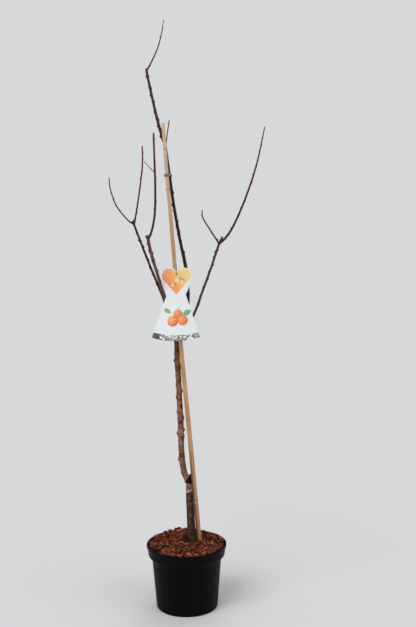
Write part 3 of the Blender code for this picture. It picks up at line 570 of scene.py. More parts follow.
def makeMulch(bark):
    mulch = {
        "chips": 1800, "seed": 5, "length": (0.0065, 0.02), "width": (0.3, 0.62), "thick": (0.0014, 0.0036),
        "goldenTurn": 2.39996, "clear": [(mulchBed["stem"], 0.0178), (mulchBed["cane"], 0.0088)],
        "earth": 0.04, "earthFade": 0.014, "earthAt": (0.0165, 0.019), "laidSteep": 0.15,
        "layers": [(0.55, 0.0002, 0.16), (0.2, 0.0017, 0.32), (0.0, 0.0036, 0.5)],  # painted shade between chips, lift, steepness
        "bedRadius": 0.1216, "bedStep": 0.0088, "bedRings": 13, "bedFoot": 0.1915, "bedSink": 0.003,
    }
    reach = mulchBed["reach"]
    draw = random.Random(mulch["seed"])
    bm, *_ = startMesh("tint", "hollow")
    for index in range(mulch["chips"]):
        layerShade, rise, steep = mulch["layers"][index % 3]  # a lower, a middle and an upper layer
        share = (index // 3 + draw.uniform(0.1, 0.9)) / (mulch["chips"] // 3 + 1)
        radius = reach * math.sqrt(share)
        around = index * mulch["goldenTurn"] + draw.uniform(-0.4, 0.4)
        length = draw.uniform(*mulch["length"]) * draw.choice((0.75, 1.0, 1.0, 1.25))
        width = length * draw.uniform(*mulch["width"])
        thick = draw.uniform(*mulch["thick"])
        heading = draw.uniform(0.0, math.tau)
        atRim = radius + length / 2 > reach
        if atRim:  # chips at the rim lie along it
            heading = around + math.pi / 2 + draw.uniform(-0.45, 0.45)
            radius = min(radius, reach - width * 0.55)
        x, y = radius * math.cos(around), radius * math.sin(around)
        if any(math.dist((x, y), at) < away + width * 0.3 for at, away in mulch["clear"]):
            continue
        shade = clamp(draw.gauss(0.46, 0.15))
        if draw.random() < 0.045:
            shade = draw.uniform(0.76, 1.0)
        elif draw.random() < 0.16:
            shade = draw.uniform(0.0, 0.15)
        away = math.dist((x, y), mulch["earthAt"])
        earth = clamp((mulch["earth"] - away) / mulch["earthFade"]) * draw.uniform(0.7, 1.0)  # by the stem
        pit = math.exp(-((math.dist((x, y), mulchBed["pit"]) / mulchBed["pitSpread"]) ** 2))
        dark = max(layerShade, min(1.0, pit * 1.5) * 0.96, earth * 0.95)  # painted shade on the lower chips and in the pit, and the dark soil by the stem
        lift = rise + draw.uniform(-0.001, 0.001)
        if atRim:
            steep *= 0.6
            if draw.random() < 0.3:
                lift += draw.uniform(0.001, 0.0032)  # some chips at the rim lie proud of it
        layChip(bm, draw, (x, y), heading, (length, width, thick), lift, steep, shade, dark)
    for x, y, facing, *size, lift, shade, dark in mulchBed["laid"]:
        size, at = [value / 1000 for value in size], (x / 1000, y / 1000)
        layChip(bm, draw, at, math.radians(facing), size, lift / 1000, mulch["laidSteep"], shade, dark)
    chips = finishMesh("barkChips", bm, [bark], 28)
    bm, space, tint, hollow = startMesh("tint", "hollow")
    bmesh.ops.create_circle(bm, cap_ends=True, segments=72, radius=mulch["bedRadius"])
    for _ in range(mulch["bedRings"]):
        face = max(bm.faces, key=lambda item: len(item.verts))
        bmesh.ops.inset_region(bm, faces=[face], thickness=mulch["bedStep"], depth=0.0)
    for vert in bm.verts:
        vert.co.z = mulchTop(vert.co.x, vert.co.y) - mulch["bedSink"]
        vert.co.z += noise.noise(vert.co * 300.0) * 0.0008
        # the bed under the chips is nearly black: painted shade in the gaps between chips
        vert[space], vert[tint], vert[hollow] = vert.co * 1.0, 0.12, 0.8
    for vert in pushRing(bm, [edge for edge in bm.edges if edge.is_boundary])[0]:
        vert.co.z = mulch["bedFoot"]
    fillHoles(bm)
    bed = finishMesh("barkBed", bm, [bark], 60)
    for piece in (chips, bed):
        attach(piece, "root")
        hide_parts("bark_mulch")
    print("mulch laid:", len(chips.data.polygons), "faces")


def treeBark():
    look = {
        "young": [
            (0.0, (0.125, 0.014, 0.028)), (0.14, (0.098, 0.01, 0.022)), (0.28, (0.053, 0.012, 0.015)),
            (0.4, (0.028, 0.01, 0.007)), (0.52, (0.12, 0.054, 0.05)), (0.74, (0.235, 0.105, 0.064)),
            (0.86, (0.105, 0.055, 0.036)), (1.0, (0.054, 0.029, 0.019)),
        ],
        "shades": [(0.3, (0.42, 0.38, 0.38)), (0.5, (1.0, 1.0, 1.0)), (0.7, (1.65, 1.6, 1.55))],
        "rosy": (0.46, 0.21, 0.135), "umber": (0.024, 0.012, 0.008), "ginger": (0.39, 0.14, 0.05),
        "olive": (0.7, 0.72, 0.52), "film": (0.34, 0.235, 0.19), "pore": (0.36, 0.25, 0.18),
        "wound": (0.008, 0.006, 0.005), "stock": (0.76, 0.72, 0.61), "union": (0.3, 0.195, 0.14),
        "callus": (0.7, 0.44, 0.3), "stain": (0.07, 0.04, 0.028), "moss": (0.023, 0.017, 0.008),
        "leader": (0.1, 0.046, 0.05), "pale": (0.42, 0.27, 0.17),
    }
    paint = Paint("youngTreeBark", 0.16)
    grain, place = paint.attribute("grainSpace", "Vector"), paint.place()
    age, mark = paint.attribute("age"), paint.attribute("mark")
    across, height = paint.part(place, "X"), paint.part(place, "Z")
    blotch = paint.noise(grain, 95.0, 5.0, 0.62)
    streak = paint.noise(grain, (520.0, 520.0, 46.0), 4.0, 0.65)
    grit = paint.noise(grain, 1500.0, 3.0, 0.7)
    mottle = paint.noise(grain, (80.0, 80.0, 62.0), 5.0, 0.62)
    scale = paint.noise(grain, (210.0, 210.0, 120.0), 4.0, 0.6, (3.0, 1.0, 5.0))
    patch = paint.noise(grain, (130.0, 130.0, 105.0), 3.0, 0.6, (7.0, 2.0, 4.0))
    film = paint.noise(grain, (240.0, 240.0, 60.0), 4.0).rise(0.55, 0.72)
    ring = paint.noise(grain, (60.0, 60.0, 1100.0))  # the fine bands round the bark
    old, oldest, stock = age.rise(0.4, 0.72), age.rise(0.86, 0.98), age.rise(0.9, 0.95)
    pore = paint.cells(grain, (330.0, 330.0, 620.0), 0.9).rise(0.24, 0.13)
    speck = paint.cells(grain, (260.0, 260.0, 190.0)).rise(0.22, 0.1) * old
    tilted = height - (across - 0.0125) * 0.42 - (across - 0.0165).rise(0.0, 0.005) * 0.007
    tilted = tilted + (blotch - 0.5) * 0.012
    band = tilted.rise(0.3697, 0.3727) * stock  # the graft's union
    seam = tilted.rise(0.3694, 0.3714) * tilted.rise(0.378, 0.3745) * stock
    stain = band * (streak * 0.25 + scale * 0.75).rise(0.5, 0.57)
    moss = (height.rise(0.275, 0.215) * blotch.rise(0.38, 0.54)).most(height.rise(0.226, 0.214)) * stock
    colour = paint.ramp(age + (blotch - 0.5) * (old * 0.16 + 0.05), look["young"])
    shade = paint.ramp(streak * 0.55 + blotch * 0.45, look["shades"])
    colour = paint.mix(old * 0.55 + 0.4, colour, shade, "MULTIPLY")
    colour = paint.coat(
        colour, (mottle.rise(0.51, 0.58) * old * (0.62 - oldest * 0.3), look["rosy"]),
        (mottle.rise(0.46, 0.38) * old * 0.66, look["umber"]),
        (scale.rise(0.54, 0.62) * old * 0.46, look["film"]),
        (scale.rise(0.44, 0.36) * old * 0.66, look["umber"]),
        (patch.rise(0.56, 0.62) * old * (0.66 - oldest * 0.45), look["ginger"]),
        (patch.rise(0.42, 0.36) * old * 0.55, look["umber"]),
    )
    olive = height.rise(0.6, 0.76) * age.rise(0.6, 0.72) * 0.95
    colour = paint.mix(olive, colour, look["olive"], "MULTIPLY")
    colour = paint.coat(
        colour, (film * age.rise(0.44, 0.6) * 0.2, look["film"]),
        (pore * (1.0 - old * 0.6) * age.rise(0.02, 0.3) * 0.26, look["pore"]), (speck * 0.62, look["wound"]),
    )
    colour = paint.mix(age.rise(0.88, 0.97), colour, look["stock"], "MULTIPLY")
    colour = paint.coat(
        colour, (band * 0.88, look["union"]), (seam * 0.9, look["callus"]), (stain * 0.85, look["stain"]),
        (moss * 0.85, look["moss"]), (height.rise(1.36, 1.6) * age.rise(0.15, 0.3) * 0.45, look["leader"]),
        (mark.clamp() * 0.93, look["wound"]), ((mark * -1.0).clamp() * 0.75, look["pale"]),
    )
    rough = 0.44 + old * 0.34 + (blotch - 0.5) * 0.16
    relief = streak * (old * 0.9 + 0.1) + ring * (0.35 - old * 0.15) + grit * 0.25 + pore * 0.35 - speck * 0.5
    return paint.dress(colour, rough, paint.bump(relief, 0.62, 0.0007))


def skinOf(*waves):  # bark's relief from noises: scale across and along, height, and if folded into cracks
    def skin(turn, run, radius, seed):
        x, y, swell = math.cos(turn) * radius, math.sin(turn) * radius, 0.0
        for axis, (across, along, height, folded) in enumerate(waves):
            place = [x * across, y * across, run * along]
            place[axis] += seed
            wave = noise.noise(Vector(place))
            swell += height * (0.2 - abs(wave) if folded else wave)
        return swell

    return skin


oldSkin = skinOf((420, 42, 0.045, False), (120, 60, 0.06, False), (900, 620, 0.022, False))
stockSkin = skinOf((330, 26, 0.05, False), (260, 34, 0.05, True), (800, 380, 0.02, False))
youngSkin = skinOf((500, 110, 0.045, False))


def spurSkin(turn, run, radius, seed):
    return 0.09 * math.sin(run * 4200) + 0.05 * noise.noise(Vector((run * 900, turn, seed)))


def addBud(whole, matrix, length, width, age):
    bm, space, ages, marks, _ = startTubes()
    for vert in bmesh.ops.create_uvsphere(bm, u_segments=7, v_segments=6, radius=1.0)["verts"]:
        rise = (vert.co.z + 1.0) / 2
        slim = width * (1.0 - 0.45 * rise * rise)
        local = Vector((vert.co.x * slim, vert.co.y * slim, (rise - 0.18) * length))
        vert[space] = local + Vector((length * 900, width * 700, 0.0))
        vert[ages], vert[marks] = age, 0.1 + 0.25 * rise
        vert.co = matrix @ local
    pour(bm, whole)


def addSpur(bm, frames, run, turn, length, radius, draw, seed):
    place, out, ahead = spot(frames, run, turn, radius * 0.9)
    path, heading = [place], (out * 0.86 + ahead * 0.5).normalized()
    for _ in range(4):
        heading = (heading + ahead * 0.12).normalized()
        path.append(path[-1] + heading * (length + radius) / 4)
    limb = [(*point, radius * taper) for point, taper in zip(path, (1.25, 1.0, 0.92, 0.98, 0.8))]
    look = {"age": (0.5, 0.42), "dome": ((0.7, 0.3), (0.3, 0.5))}
    grown = growTube(bm, evenLine(limb, 0.0012, 1.0), 9, look, seed, skin=spurSkin)
    tip, _, onward = spot(grown, length + radius, 0.0, radius)
    addBud(bm, lean(tip, out, onward, 0.15), 0.0034, 0.0013, 0.3)
    if draw.random() < 0.5:
        side, outward, onward = spot(grown, length * 0.7, draw.uniform(0, 6.28), 0.0003)
        addBud(bm, lean(side, outward, onward, 0.6), 0.0026, 0.0011, 0.3)


def placeKnobs(line, knobs):  # turns knobs given by height, in mm, into growTube's bulges, given by run
    runs, run = [], 0.0
    for k, (point, _) in enumerate(line):
        run += (point - line[k - 1][0]).length if k else 0.0
        runs.append((point.z, run))
    bulges = []
    for height, turn, out, length, mark in knobs:
        at = nearest(runs, height / 1000)[1]
        bulges.append((at, math.radians(turn), out / 1000, length / 1000, 0.3 + length * 0.045, mark))
    return runs, bulges


def makeTree(bark):
    tree = {
        "seed": 23, "ringStep": 0.0026, "youngStep": 0.003, "budStep": 0.0235, "spurStep": 0.031,
        "leafTurn": math.radians(144), "fork": 0.86, "stubPoint": (0.015, 0.0238, 0.417),
        "stubNormal": (-0.45, -0.3, 0.84),
        "stock": [  # x, y, z and radius, in mm, as in every row below
            (19, 24, 85, 13), (19.5, 24, 180, 17.8), (19.5, 24, 207, 18.8), (17.2, 24, 220, 15.8),
            (15.7, 24, 240, 13.7), (13.4, 24, 290, 12.5), (12.1, 24, 355, 12.6), (11.8, 24, 390, 11.8),
            (16, 23.8, 430, 10),
        ],
        "stem": [
            (12, 24, 385, 8), (2, 23, 413, 9.5), (-6, 22, 437, 9.7), (-12.4, 20, 490, 9.4),
            (-14.6, 20, 580, 9.4), (-18.1, 20, 703, 8.8), (-23.4, 20, 815, 8.5), (-20, 21, 872, 8.3),
            (-7, 22.5, 905, 7), (7, 24.5, 945, 6.5), (13, 25, 1000, 6), (7, 23, 1089, 5.5),
            (-8.8, 20, 1170, 4.8), (-27.2, 13, 1283, 4.6), (-38.4, 9, 1372, 4.3), (-49.5, 11, 1455, 4.3),
            (-60.5, 15, 1490, 4.5), (-79.5, 20, 1565, 4.3), (-102, 28, 1672, 3.9), (-104.5, 30, 1694, 4.3),
        ],
        "limbs": {  # name: rows, sides, age from foot to tip, kind
            "leftBack": ([
                (-21.5, 20.5, 868, 5), (-63, 45, 984, 3.9), (-109.8, 70, 1098, 3.7),
                (-156.5, 90, 1220, 3.5), (-159.5, 91, 1229, 4.2),
            ], 16, (0.42, 0.33), "old"),
            "leftFront": ([
                (-22.5, 18.5, 868, 5.8), (-41.5, 8, 943, 5.2), (-60, -6, 1003, 5), (-94, -48, 1130, 4.8),
                (-103.5, -64, 1182, 4.9), (-104, -65, 1189, 5.3),
            ], 20, (0.53, 0.5), "old"),
            "right": ([
                (-20, 21.5, 864, 5.6), (1, 31, 887, 5), (32, 43, 939, 4.2), (59.7, 52, 1011, 3.8),
                (86.8, 60, 1083, 3.7), (113, 65, 1158, 3.7), (123.5, 66, 1179, 3.6),
            ], 16, (0.46, 0.43), "old"),
            "leaderTip": ([
                (-105, 30, 1690, 2.8), (-92.7, 28, 1709, 2.4), (-71.5, 24, 1751, 1.9), (-58, 20, 1794, 1.6),
                (-50.5, 15, 1833, 1.1),
            ], 12, (0.2, 0.02), "young"),
            "leftBackOuter": ([
                (-156.5, 90, 1220, 2.5), (-179, 100, 1237, 2.3), (-213, 115, 1279, 2.2),
                (-232.2, 128, 1330, 2), (-237, 135, 1366, 1.7),
            ], 12, (0.16, 0.02), "young"),
            "leftBackUpright": ([
                (-156.5, 90, 1219, 3), (-148, 93, 1262, 2.7), (-136.6, 100, 1335, 2.5),
                (-128, 110, 1406, 2.4), (-128, 120, 1464, 2.2),
            ], 12, (0.2, 0.04), "young"),
            "leftFrontUpright": ([
                (-103, -65, 1180, 3.7), (-91.2, -72, 1204, 3.4), (-80.3, -82, 1260, 3.4),
                (-77.7, -88, 1344, 3.3), (-78.8, -90, 1420, 3), (-80.2, -90, 1489, 2.7),
            ], 14, (0.3, 0.1), "young"),
            "rightInner": ([
                (113, 65, 1158, 2.9), (85, 90, 1201, 2.5), (62.2, 108, 1239, 2.2), (60.2, 115, 1260, 1.9),
            ], 10, (0.16, 0.04), "young"),
            "rightOuter": ([
                (114, 65, 1160, 3.9), (132.5, 55, 1176, 3.7), (158.5, 40, 1216, 3.5), (195, 20, 1300, 3.1),
                (228, -2, 1400, 2.6), (252, -22, 1510, 1.5),
            ], 14, (0.26, 0.02), "young"),
            "leftFrontTwig": ([
                (-78, -89, 1376, 1.4), (-92, -105, 1391, 1.2), (-105, -120, 1405, 1),
            ], 8, (0.6, 0.56), "twig"),
            "leaderTwig": ([
                (-49.5, 11, 1456, 1.9), (-43, 28, 1508, 1.7), (-38.5, 36, 1536, 1.7),
            ], 8, (0.1, 0.05), "twig"),
        },
        # height, turn (0 right, 90 back, 180 left, 270 front), how far it stands out, its length, its mark
        "knobs": {
            "stem": [
                (857, 182, 3, 5, 0.3), (793.6, 185, 4, 4, 0), (713.9, 182, 1.9, 6, 0),
                (677, 178, 2.4, 5, 0.3), (627.7, 190, 2.4, 7, 0), (561, 184, 5.2, 6.2, 0.1),
                (475.3, 182, 4.2, 6, 0), (434.7, 178, 1.4, 8, 0), (773.6, 358, 2.6, 8, 0.25),
                (696.7, 356, 3.6, 5, 0.2), (609, 2, 3.2, 8, 0), (570.1, 357, 5, 5, 0),
                (550, 2, 2.8, 7, 0.1), (679, 262, 1.6, 4, -0.7), (533, 275, 1.6, 6, -0.5),
                (647, 90, 3, 5, 0.1), (590, 120, 3.4, 6, 0), (740, 60, 3, 5, 0.2), (515, 80, 2.8, 6, 0),
                (645.4, 318, 0.6, 4.4, 2.4), (598.4, 268, 0.5, 3.6, 2.2), (486, 336, 1, 3.4, 1.6),
                (674, 200, 1.4, 3.5, 1.2), (823, 300, 1, 5, 1), (756, 110, 0.4, 3, 1.4),
                (539, 100, 0.4, 3.2, 1.4), (644, 240, 0.6, 6, -0.4), (590, 250, 0.6, 7, -0.3),
                (730, 285, 0.6, 5, 0.5), (505, 255, 0.6, 6, -0.3), (615, 300, 0.8, 6, 0.4),
                (1671.3, 180, 3, 3.4, 0.3), (1634.4, 5, 2.4, 3.4, 0.3), (1613.8, 185, 2.6, 3.6, 0.3),
                (1595.6, 350, 2.6, 3.4, 0.3), (1564, 175, 1.4, 4, 0.2), (1537.9, 5, 2.2, 4, 0.3),
                (1522.7, 185, 2.6, 4, 0.3), (1490.2, 190, 3, 3.4, 0.4), (1319, 355, 3.2, 3.6, 0.3),
                (1280.8, 185, 2.8, 3.6, 0.3), (1214.9, 180, 1.6, 4, 0.2), (1197.1, 0, 1.6, 4, 0.2),
                (1132.4, 5, 2.6, 4, 0.3), (1250, 80, 2.6, 3.6, 0.3), (1420, 100, 2.8, 3.6, 0.3),
                (1164, 265, 1.2, 4, 0.2), (1650, 280, 1.2, 3.6, 0.2), (1580, 95, 2.6, 3.6, 0.3),
            ],
            "leftBack": [
                (1171.3, 180, 3.4, 3, 0.3), (1148.7, 0, 3, 3.2, 0.3), (1108.7, 5, 2.2, 3.6, 0.2),
                (1084, 180, 2, 3.6, 0.2), (1033, 180, 2, 3.6, 0.2), (1060, 90, 2.8, 3.2, 0.3),
                (1190, 80, 2.6, 3, 0.3), (970, 100, 2.6, 3.4, 0.2),
            ],
            "leftFront": [
                (1187, 182, 2.2, 3.4, 0.1), (1164.1, 180, 2.6, 3.2, 0.5), (1145.7, 182, 1.4, 3.4, 0.3),
                (1135.4, 0, 3.4, 3.6, 0.1), (1112.3, 182, 1.6, 3.4, 0.1), (1080, 0, 1.8, 3.6, 0.2),
                (1179, 262, 0.5, 2.6, -0.9), (1095, 270, 1, 4.6, -0.3), (1050, 255, 1.2, 4, -0.3),
                (1150, 275, 0.8, 3, 0.7), (1025, 90, 2.8, 3.4, 0.3), (1120, 80, 2.4, 3.4, 0.3),
            ],
            "right": [
                (1131, 180, 3.6, 3.2, 0.2), (1091.9, 0, 2.6, 3, 0.3), (1069.9, 182, 1.6, 3.4, 0.2),
                (1047.7, 0, 1.8, 3.4, 0.2), (1022, 180, 1.5, 3.6, 0.2), (976.4, 0, 1.8, 3.4, 0.2),
                (1110, 90, 2.6, 3, 0.3), (1000, 85, 2.4, 3.2, 0.3), (1172, 20, 1.2, 3, -0.2),
                (1177.5, 275, 0.2, 5, -1.1),
            ],
        },
    }
    draw = random.Random(tree["seed"])
    bm = startTubes()[0]
    growTube(bm, evenLine(tree["stock"], tree["ringStep"]), 40, {"age": (1.0, 1.0)}, 0.3, skin=stockSkin)
    bmesh.ops.bisect_plane(
        bm, geom=[*bm.verts, *bm.edges, *bm.faces], plane_co=tree["stubPoint"], plane_no=tree["stubNormal"],
        clear_outer=True,
    )
    fillHoles(bm)
    line = evenLine(tree["stem"], tree["ringStep"])
    runs, bulges = placeKnobs(line, tree["knobs"]["stem"])
    spots, turn, at = [], 0.0, runs[0][1] + 0.1
    while at < runs[-1][1] - 0.02:  # the nodes of the stem and the leader
        turn += tree["leafTurn"] + draw.uniform(-0.3, 0.3)
        spots.append((at, turn))
        bulges.append((at, turn % math.tau, draw.uniform(0.0007, 0.0014), 0.0035, 0.6, 0.12))
        at += tree["spurStep"] * draw.uniform(0.75, 1.25)
    upper = nearest(runs, tree["fork"])[1]
    look = {"age": (0.8, 0.8), "dome": ((0.86, 0.25), (0.5, 0.35)), "cutMark": 0.4}
    frames = growTube(bm, line, 28, look, 1.7, bulges, oldSkin)
    ages = bm.verts.layers.float["age"]
    for vert in bm.verts:  # the stem's bark darkens from the fork upwards
        if 0.79 < vert[ages] < 0.81:
            young = 0.36 * clamp((vert.co.z - tree["fork"]) / 0.14) + 0.05 * clamp((vert.co.z - 1.1) / 0.5)
            vert[ages] = 0.755 - young
    for at, turn in spots:
        if at > upper:
            if draw.random() < 0.4:
                addSpur(bm, frames, at, turn, draw.uniform(0.0015, 0.004), 0.0017, draw, at * 9)
            else:
                place, out, ahead = spot(frames, at, turn, -0.0002)
                addBud(bm, lean(place, out, ahead, 0.55), 0.0032, 0.0014, 0.3)
        elif draw.random() < 0.25:
            addSpur(bm, frames, at, turn, draw.uniform(0.0005, 0.002), 0.0022, draw, at * 7)
    for index, (name, (points, sides, age, kind)) in enumerate(tree["limbs"].items()):
        line = evenLine(points, tree["ringStep"] if kind == "old" else tree["youngStep"])
        total = lineLength(line)
        spacing = tree["spurStep"] * 0.82 if kind == "old" else tree["budStep"]
        nodes, turn, at = [], draw.uniform(0, 6.28), spacing * 0.7
        while at < total - 0.006:
            turn += tree["leafTurn"] + draw.uniform(-0.25, 0.25)
            nodes.append((at, turn))
            at += spacing * draw.uniform(0.8, 1.2)
        if kind == "old":
            bulges = placeKnobs(line, tree["knobs"][name])[1]
            bulges += [(at, turn % math.tau, 0.0012, 0.0032, 0.65, 0.15) for at, turn in nodes]
            bulges += [(total - 0.003, a, 0.0006, 0.003, 0.9, 0.0) for a in (0.4, 2.6, 4.6)]
            look = {"flare": 0.3, "flareLength": 0.012, "dome": ((0.88, 0.2), (0.5, 0.3)), "cutMark": 0.35}
        else:
            bulges = [(at, turn % math.tau, 0.00045, 0.0018, 0.7, 0.08) for at, turn in nodes]
            look = {"flare": 0.45, "flareLength": 0.005, "dome": ((0.6, 0.5),)}
        look["age"], skin = age, oldSkin if kind == "old" else youngSkin
        frames = growTube(bm, line, sides, look, 3.1 + index * 1.37, bulges, skin)
        for at, turn in nodes:
            place, out, ahead = spot(frames, at, turn, -0.0001)
            if kind == "old" and draw.random() < 0.38:
                addSpur(bm, frames, at, turn, draw.uniform(0.0015, 0.0045), 0.0016, draw, at * 11)
            elif kind == "twig":
                addBud(bm, lean(place, out, ahead, 0.42), 0.0026, 0.0011, 0.05)
            else:
                size = draw.uniform(0.85, 1.15)
                addBud(bm, lean(place, out, ahead, 0.42), 0.004 * size, 0.0016 * size, age[1] + 0.06)
                if kind == "young" and draw.random() < 0.35:  # flower buds sit beside the leaf bud
                    place, out, ahead = spot(frames, at, turn + 0.75, 0.0)
                    addBud(bm, lean(place, out, ahead, 0.55), 0.0028 * size, 0.0013 * size, age[1] + 0.06)
        if kind != "old":
            tip, _, ahead = spot(frames, total, 0.0, frames[-1][1])
            addBud(bm, lean(tip, ahead, ahead, 0.5), 0.0056, max(0.0015, frames[-1][1] * 1.15), age[1] + 0.12)
    bm.verts.layers.float.remove(bm.verts.layers.float["turn"])
    wood = finishMesh("graftedTree", bm, [bark], 55)
    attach(wood, "root")
    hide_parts("tree")
    print("tree grown:", len(wood.data.polygons), "faces")


def twoTone(name, shine, noises, blend, colours, gloss, relief, ribs=None):  # a plain skin of two close tones
    paint = Paint(name, shine)
    place = paint.place()
    tone = paint.noise(place, *noises)
    height = tone + paint.noise(place, ribs, 2.0) if ribs else tone
    colour = paint.mix(tone.rise(*blend), *colours)
    return paint.dress(colour, tone * gloss[0] + gloss[1], paint.bump(height, *relief))


def sealWax():
    colours = (0.0034, 0.0038, 0.0034), (0.015, 0.015, 0.013)
    return twoTone("woundWax", 0.12, (260.0, 4.0, 0.6), (0.45, 0.75), colours, (0.3, 0.34), (0.7, 0.0012))


def makeSeal(wax):
    lump = {"longest": 0.0022, "height": 0.00035, "scale": 330.0}
    bm = bmesh.new()
    bm.from_mesh(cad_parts["graft_seal"].data)
    bmesh.ops.remove_doubles(bm, verts=bm.verts[:], dist=2e-5)
    for _ in range(2):
        long = [edge for edge in bm.edges if edge.calc_length() > lump["longest"]]
        bmesh.ops.subdivide_edges(bm, edges=long, cuts=1)
        bmesh.ops.triangulate(bm, faces=bm.faces[:])
    bmesh.ops.recalc_face_normals(bm, faces=bm.faces[:])
    bm.normal_update()
    for vert in bm.verts:
        vert.co += vert.normal * lump["height"] * noise.noise(vert.co * lump["scale"])
    seal = finishMesh("woundSeal", bm, [wax], 50)
    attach(seal, "root")
    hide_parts("graft_seal")
    print("graft sealed")


def bambooSkin():
    look = {
        "straw": (0.61, 0.35, 0.15), "honey": (0.5, 0.245, 0.092), "foot": (0.44, 0.205, 0.068),
        "pale": (0.74, 0.54, 0.37), "green": (0.4, 0.33, 0.14), "fibre": (0.25, 0.125, 0.05),
        "sideShade": (0.085, 0.032, 0.012), "mould": (0.05, 0.032, 0.02), "node": (0.23, 0.105, 0.042),
        "ridge": (0.7, 0.52, 0.31),
    }
    paint = Paint("driedBamboo", 0.45)
    grain = paint.attribute("grainSpace", "Vector")
    age, mark = paint.attribute("age"), paint.attribute("mark")
    fibre = paint.noise(grain, (1300.0, 1300.0, 9.0), 3.0, 0.6)
    stain = paint.noise(grain, (70.0, 70.0, 14.0), 4.0, 0.6)
    fleck = paint.cells(grain, (260.0, 260.0, 90.0)).rise(0.2, 0.08) * stain.rise(0.5, 0.65)
    side = paint.part(grain, "X") - 0.9
    colour = paint.coat(
        look["straw"], (stain.rise(0.38, 0.66), look["honey"]), (age.rise(0.42, 0.08) * 0.86, look["foot"]),
        (age.rise(0.66, 0.96) * 0.72, look["pale"]),
        (paint.noise(grain, 9.0).rise(0.52, 0.7) * 0.3, look["green"]),
        (fibre.rise(0.4, 0.7) * 0.26, look["fibre"]),
        # painted shade: the cane's lower part is darkened along its left side, where the stock shades it
        (side.rise(0.0022, -0.0042) * age.rise(0.36, 0.22) * 0.92, look["sideShade"]),
        (fleck * 0.6, look["mould"]),
        (mark.clamp() * 0.7, look["node"]), ((mark * -1.0).clamp() * 0.55, look["ridge"]),
    )
    rough = 0.36 + stain * 0.16 + fibre * 0.1
    return paint.dress(colour, rough, paint.bump(fibre + fleck * 0.4, 0.35, 0.0004))


def makeCane(bamboo):
    cane = {
        "rows": [
            (51, 8.5, 80, 7.6), (41, 6.8, 213, 7.6), (25.6, 5, 407, 7.4), (11.8, 4.5, 582, 7.2),
            (-8.6, 3.5, 827, 6.5), (-27, 1, 1111, 5.9), (-46, -1, 1372, 5.7), (-52, -2, 1470, 5.3),
            (-55.6, -2.5, 1529, 4.4),
        ],
        "joints": (0.15, 0.344, 0.604, 0.854, 1.092, 1.326, 1.448), "bore": 0.0019, "boreDepth": 0.03,
        "ridge": [(0.00085, 0.0, 0.0013), (-0.00035, 0.0026, 0.0007), (0.00045, 0.0046, 0.0014)],
        "marks": [(0.9, 0.0024, 0.0014), (-0.45, -0.004, 0.003)],  # height, place above the joint, spread
    }
    line = evenLine(cane["rows"], 0.003)
    joints = [nearest(line, height, lambda row: row[0].z)[0].z for height in cane["joints"]]
    fine = list(line)  # with closer rings where a joint's ridge and groove are
    for joint in joints:
        for step in (-0.0016, -0.0008, 0.0008, 0.0016, 0.0024):
            below = max((row for row in line if row[0].z <= joint + step), key=lambda row: row[0].z)
            above = min((row for row in line if row[0].z > joint + step), key=lambda row: row[0].z)
            share = (joint + step - below[0].z) / (above[0].z - below[0].z)
            fine.append((below[0].lerp(above[0], share), below[1] + (above[1] - below[1]) * share))
    fine.sort(key=lambda row: row[0].z)
    kept = [fine[0]]
    for row in fine[1:]:
        if (row[0] - kept[-1][0]).length > 0.0004:
            kept.append(row)

    def joined(height, waves):
        return sum(
            size * math.exp(-(((height - joint - above) / spread) ** 2))
            for joint in joints for size, above, spread in waves
        )

    def skin(turn, run, radius, seed):
        return 0.01 * noise.noise(Vector((math.cos(turn), math.sin(turn), run * 7)) * 1.6)

    bm = startTubes()[0]
    rows = [(point, radius + joined(point.z, cane["ridge"])) for point, radius in kept]
    growTube(bm, rows, 28, {"age": (0.0, 1.0), "dome": ((0.93, 0.04),)}, 0.9, skin=skin)
    marks = bm.verts.layers.float["mark"]
    for vert in bm.verts:
        vert[marks] = joined(vert.co.z, cane["marks"])
    end = max(bm.faces, key=lambda face: face.calc_center_median().z if len(face.verts) > 12 else -1.0)
    bmesh.ops.inset_region(bm, faces=[end], thickness=kept[-1][1] * 0.93 - cane["bore"], depth=0.0)
    axis = (kept[-1][0] - kept[-2][0]).normalized()
    made = bmesh.ops.extrude_face_region(bm, geom=[end])["geom"]
    bmesh.ops.delete(bm, geom=[end], context="FACES")
    for vert in vertsIn(made):
        vert.co -= axis * cane["boreDepth"]
        # the bore's inner wall takes the dark node colour: painted shade inside the hollow end
        vert[marks] = 1.0
    bm.verts.layers.float.remove(bm.verts.layers.float["turn"])
    stick = finishMesh("bambooCane", bm, [bamboo], 50)
    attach(stick, "root")
    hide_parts("cane")
    print("cane cut:", len(stick.data.polygons), "faces")
    return kept


labelShape = {
    "centre": -0.0205, "thick": 0.0008, "back": -0.0074, "foot": 0.864, "corner": 0.873, "footHalf": 0.0745,
    "neck": 1.006, "neckHalf": 0.029, "heartHalf": 0.0465, "widest": 1.064, "top": 1.089, "notch": 1.0795,
    "hole": 1.068, "holeRadius": 0.0026, "bow": 2.2, "lean": 0.17, "bend": 0.02, "swing": 0.02,
}


def labelDepth(across, height):
    drop = max(0.0, labelShape["widest"] - height)
    leaning = labelShape["lean"] * (math.hypot(drop, labelShape["bend"]) - labelShape["bend"])
    return labelShape["back"] - leaning + labelShape["bow"] * across * across * min(1.0, drop / 0.1)


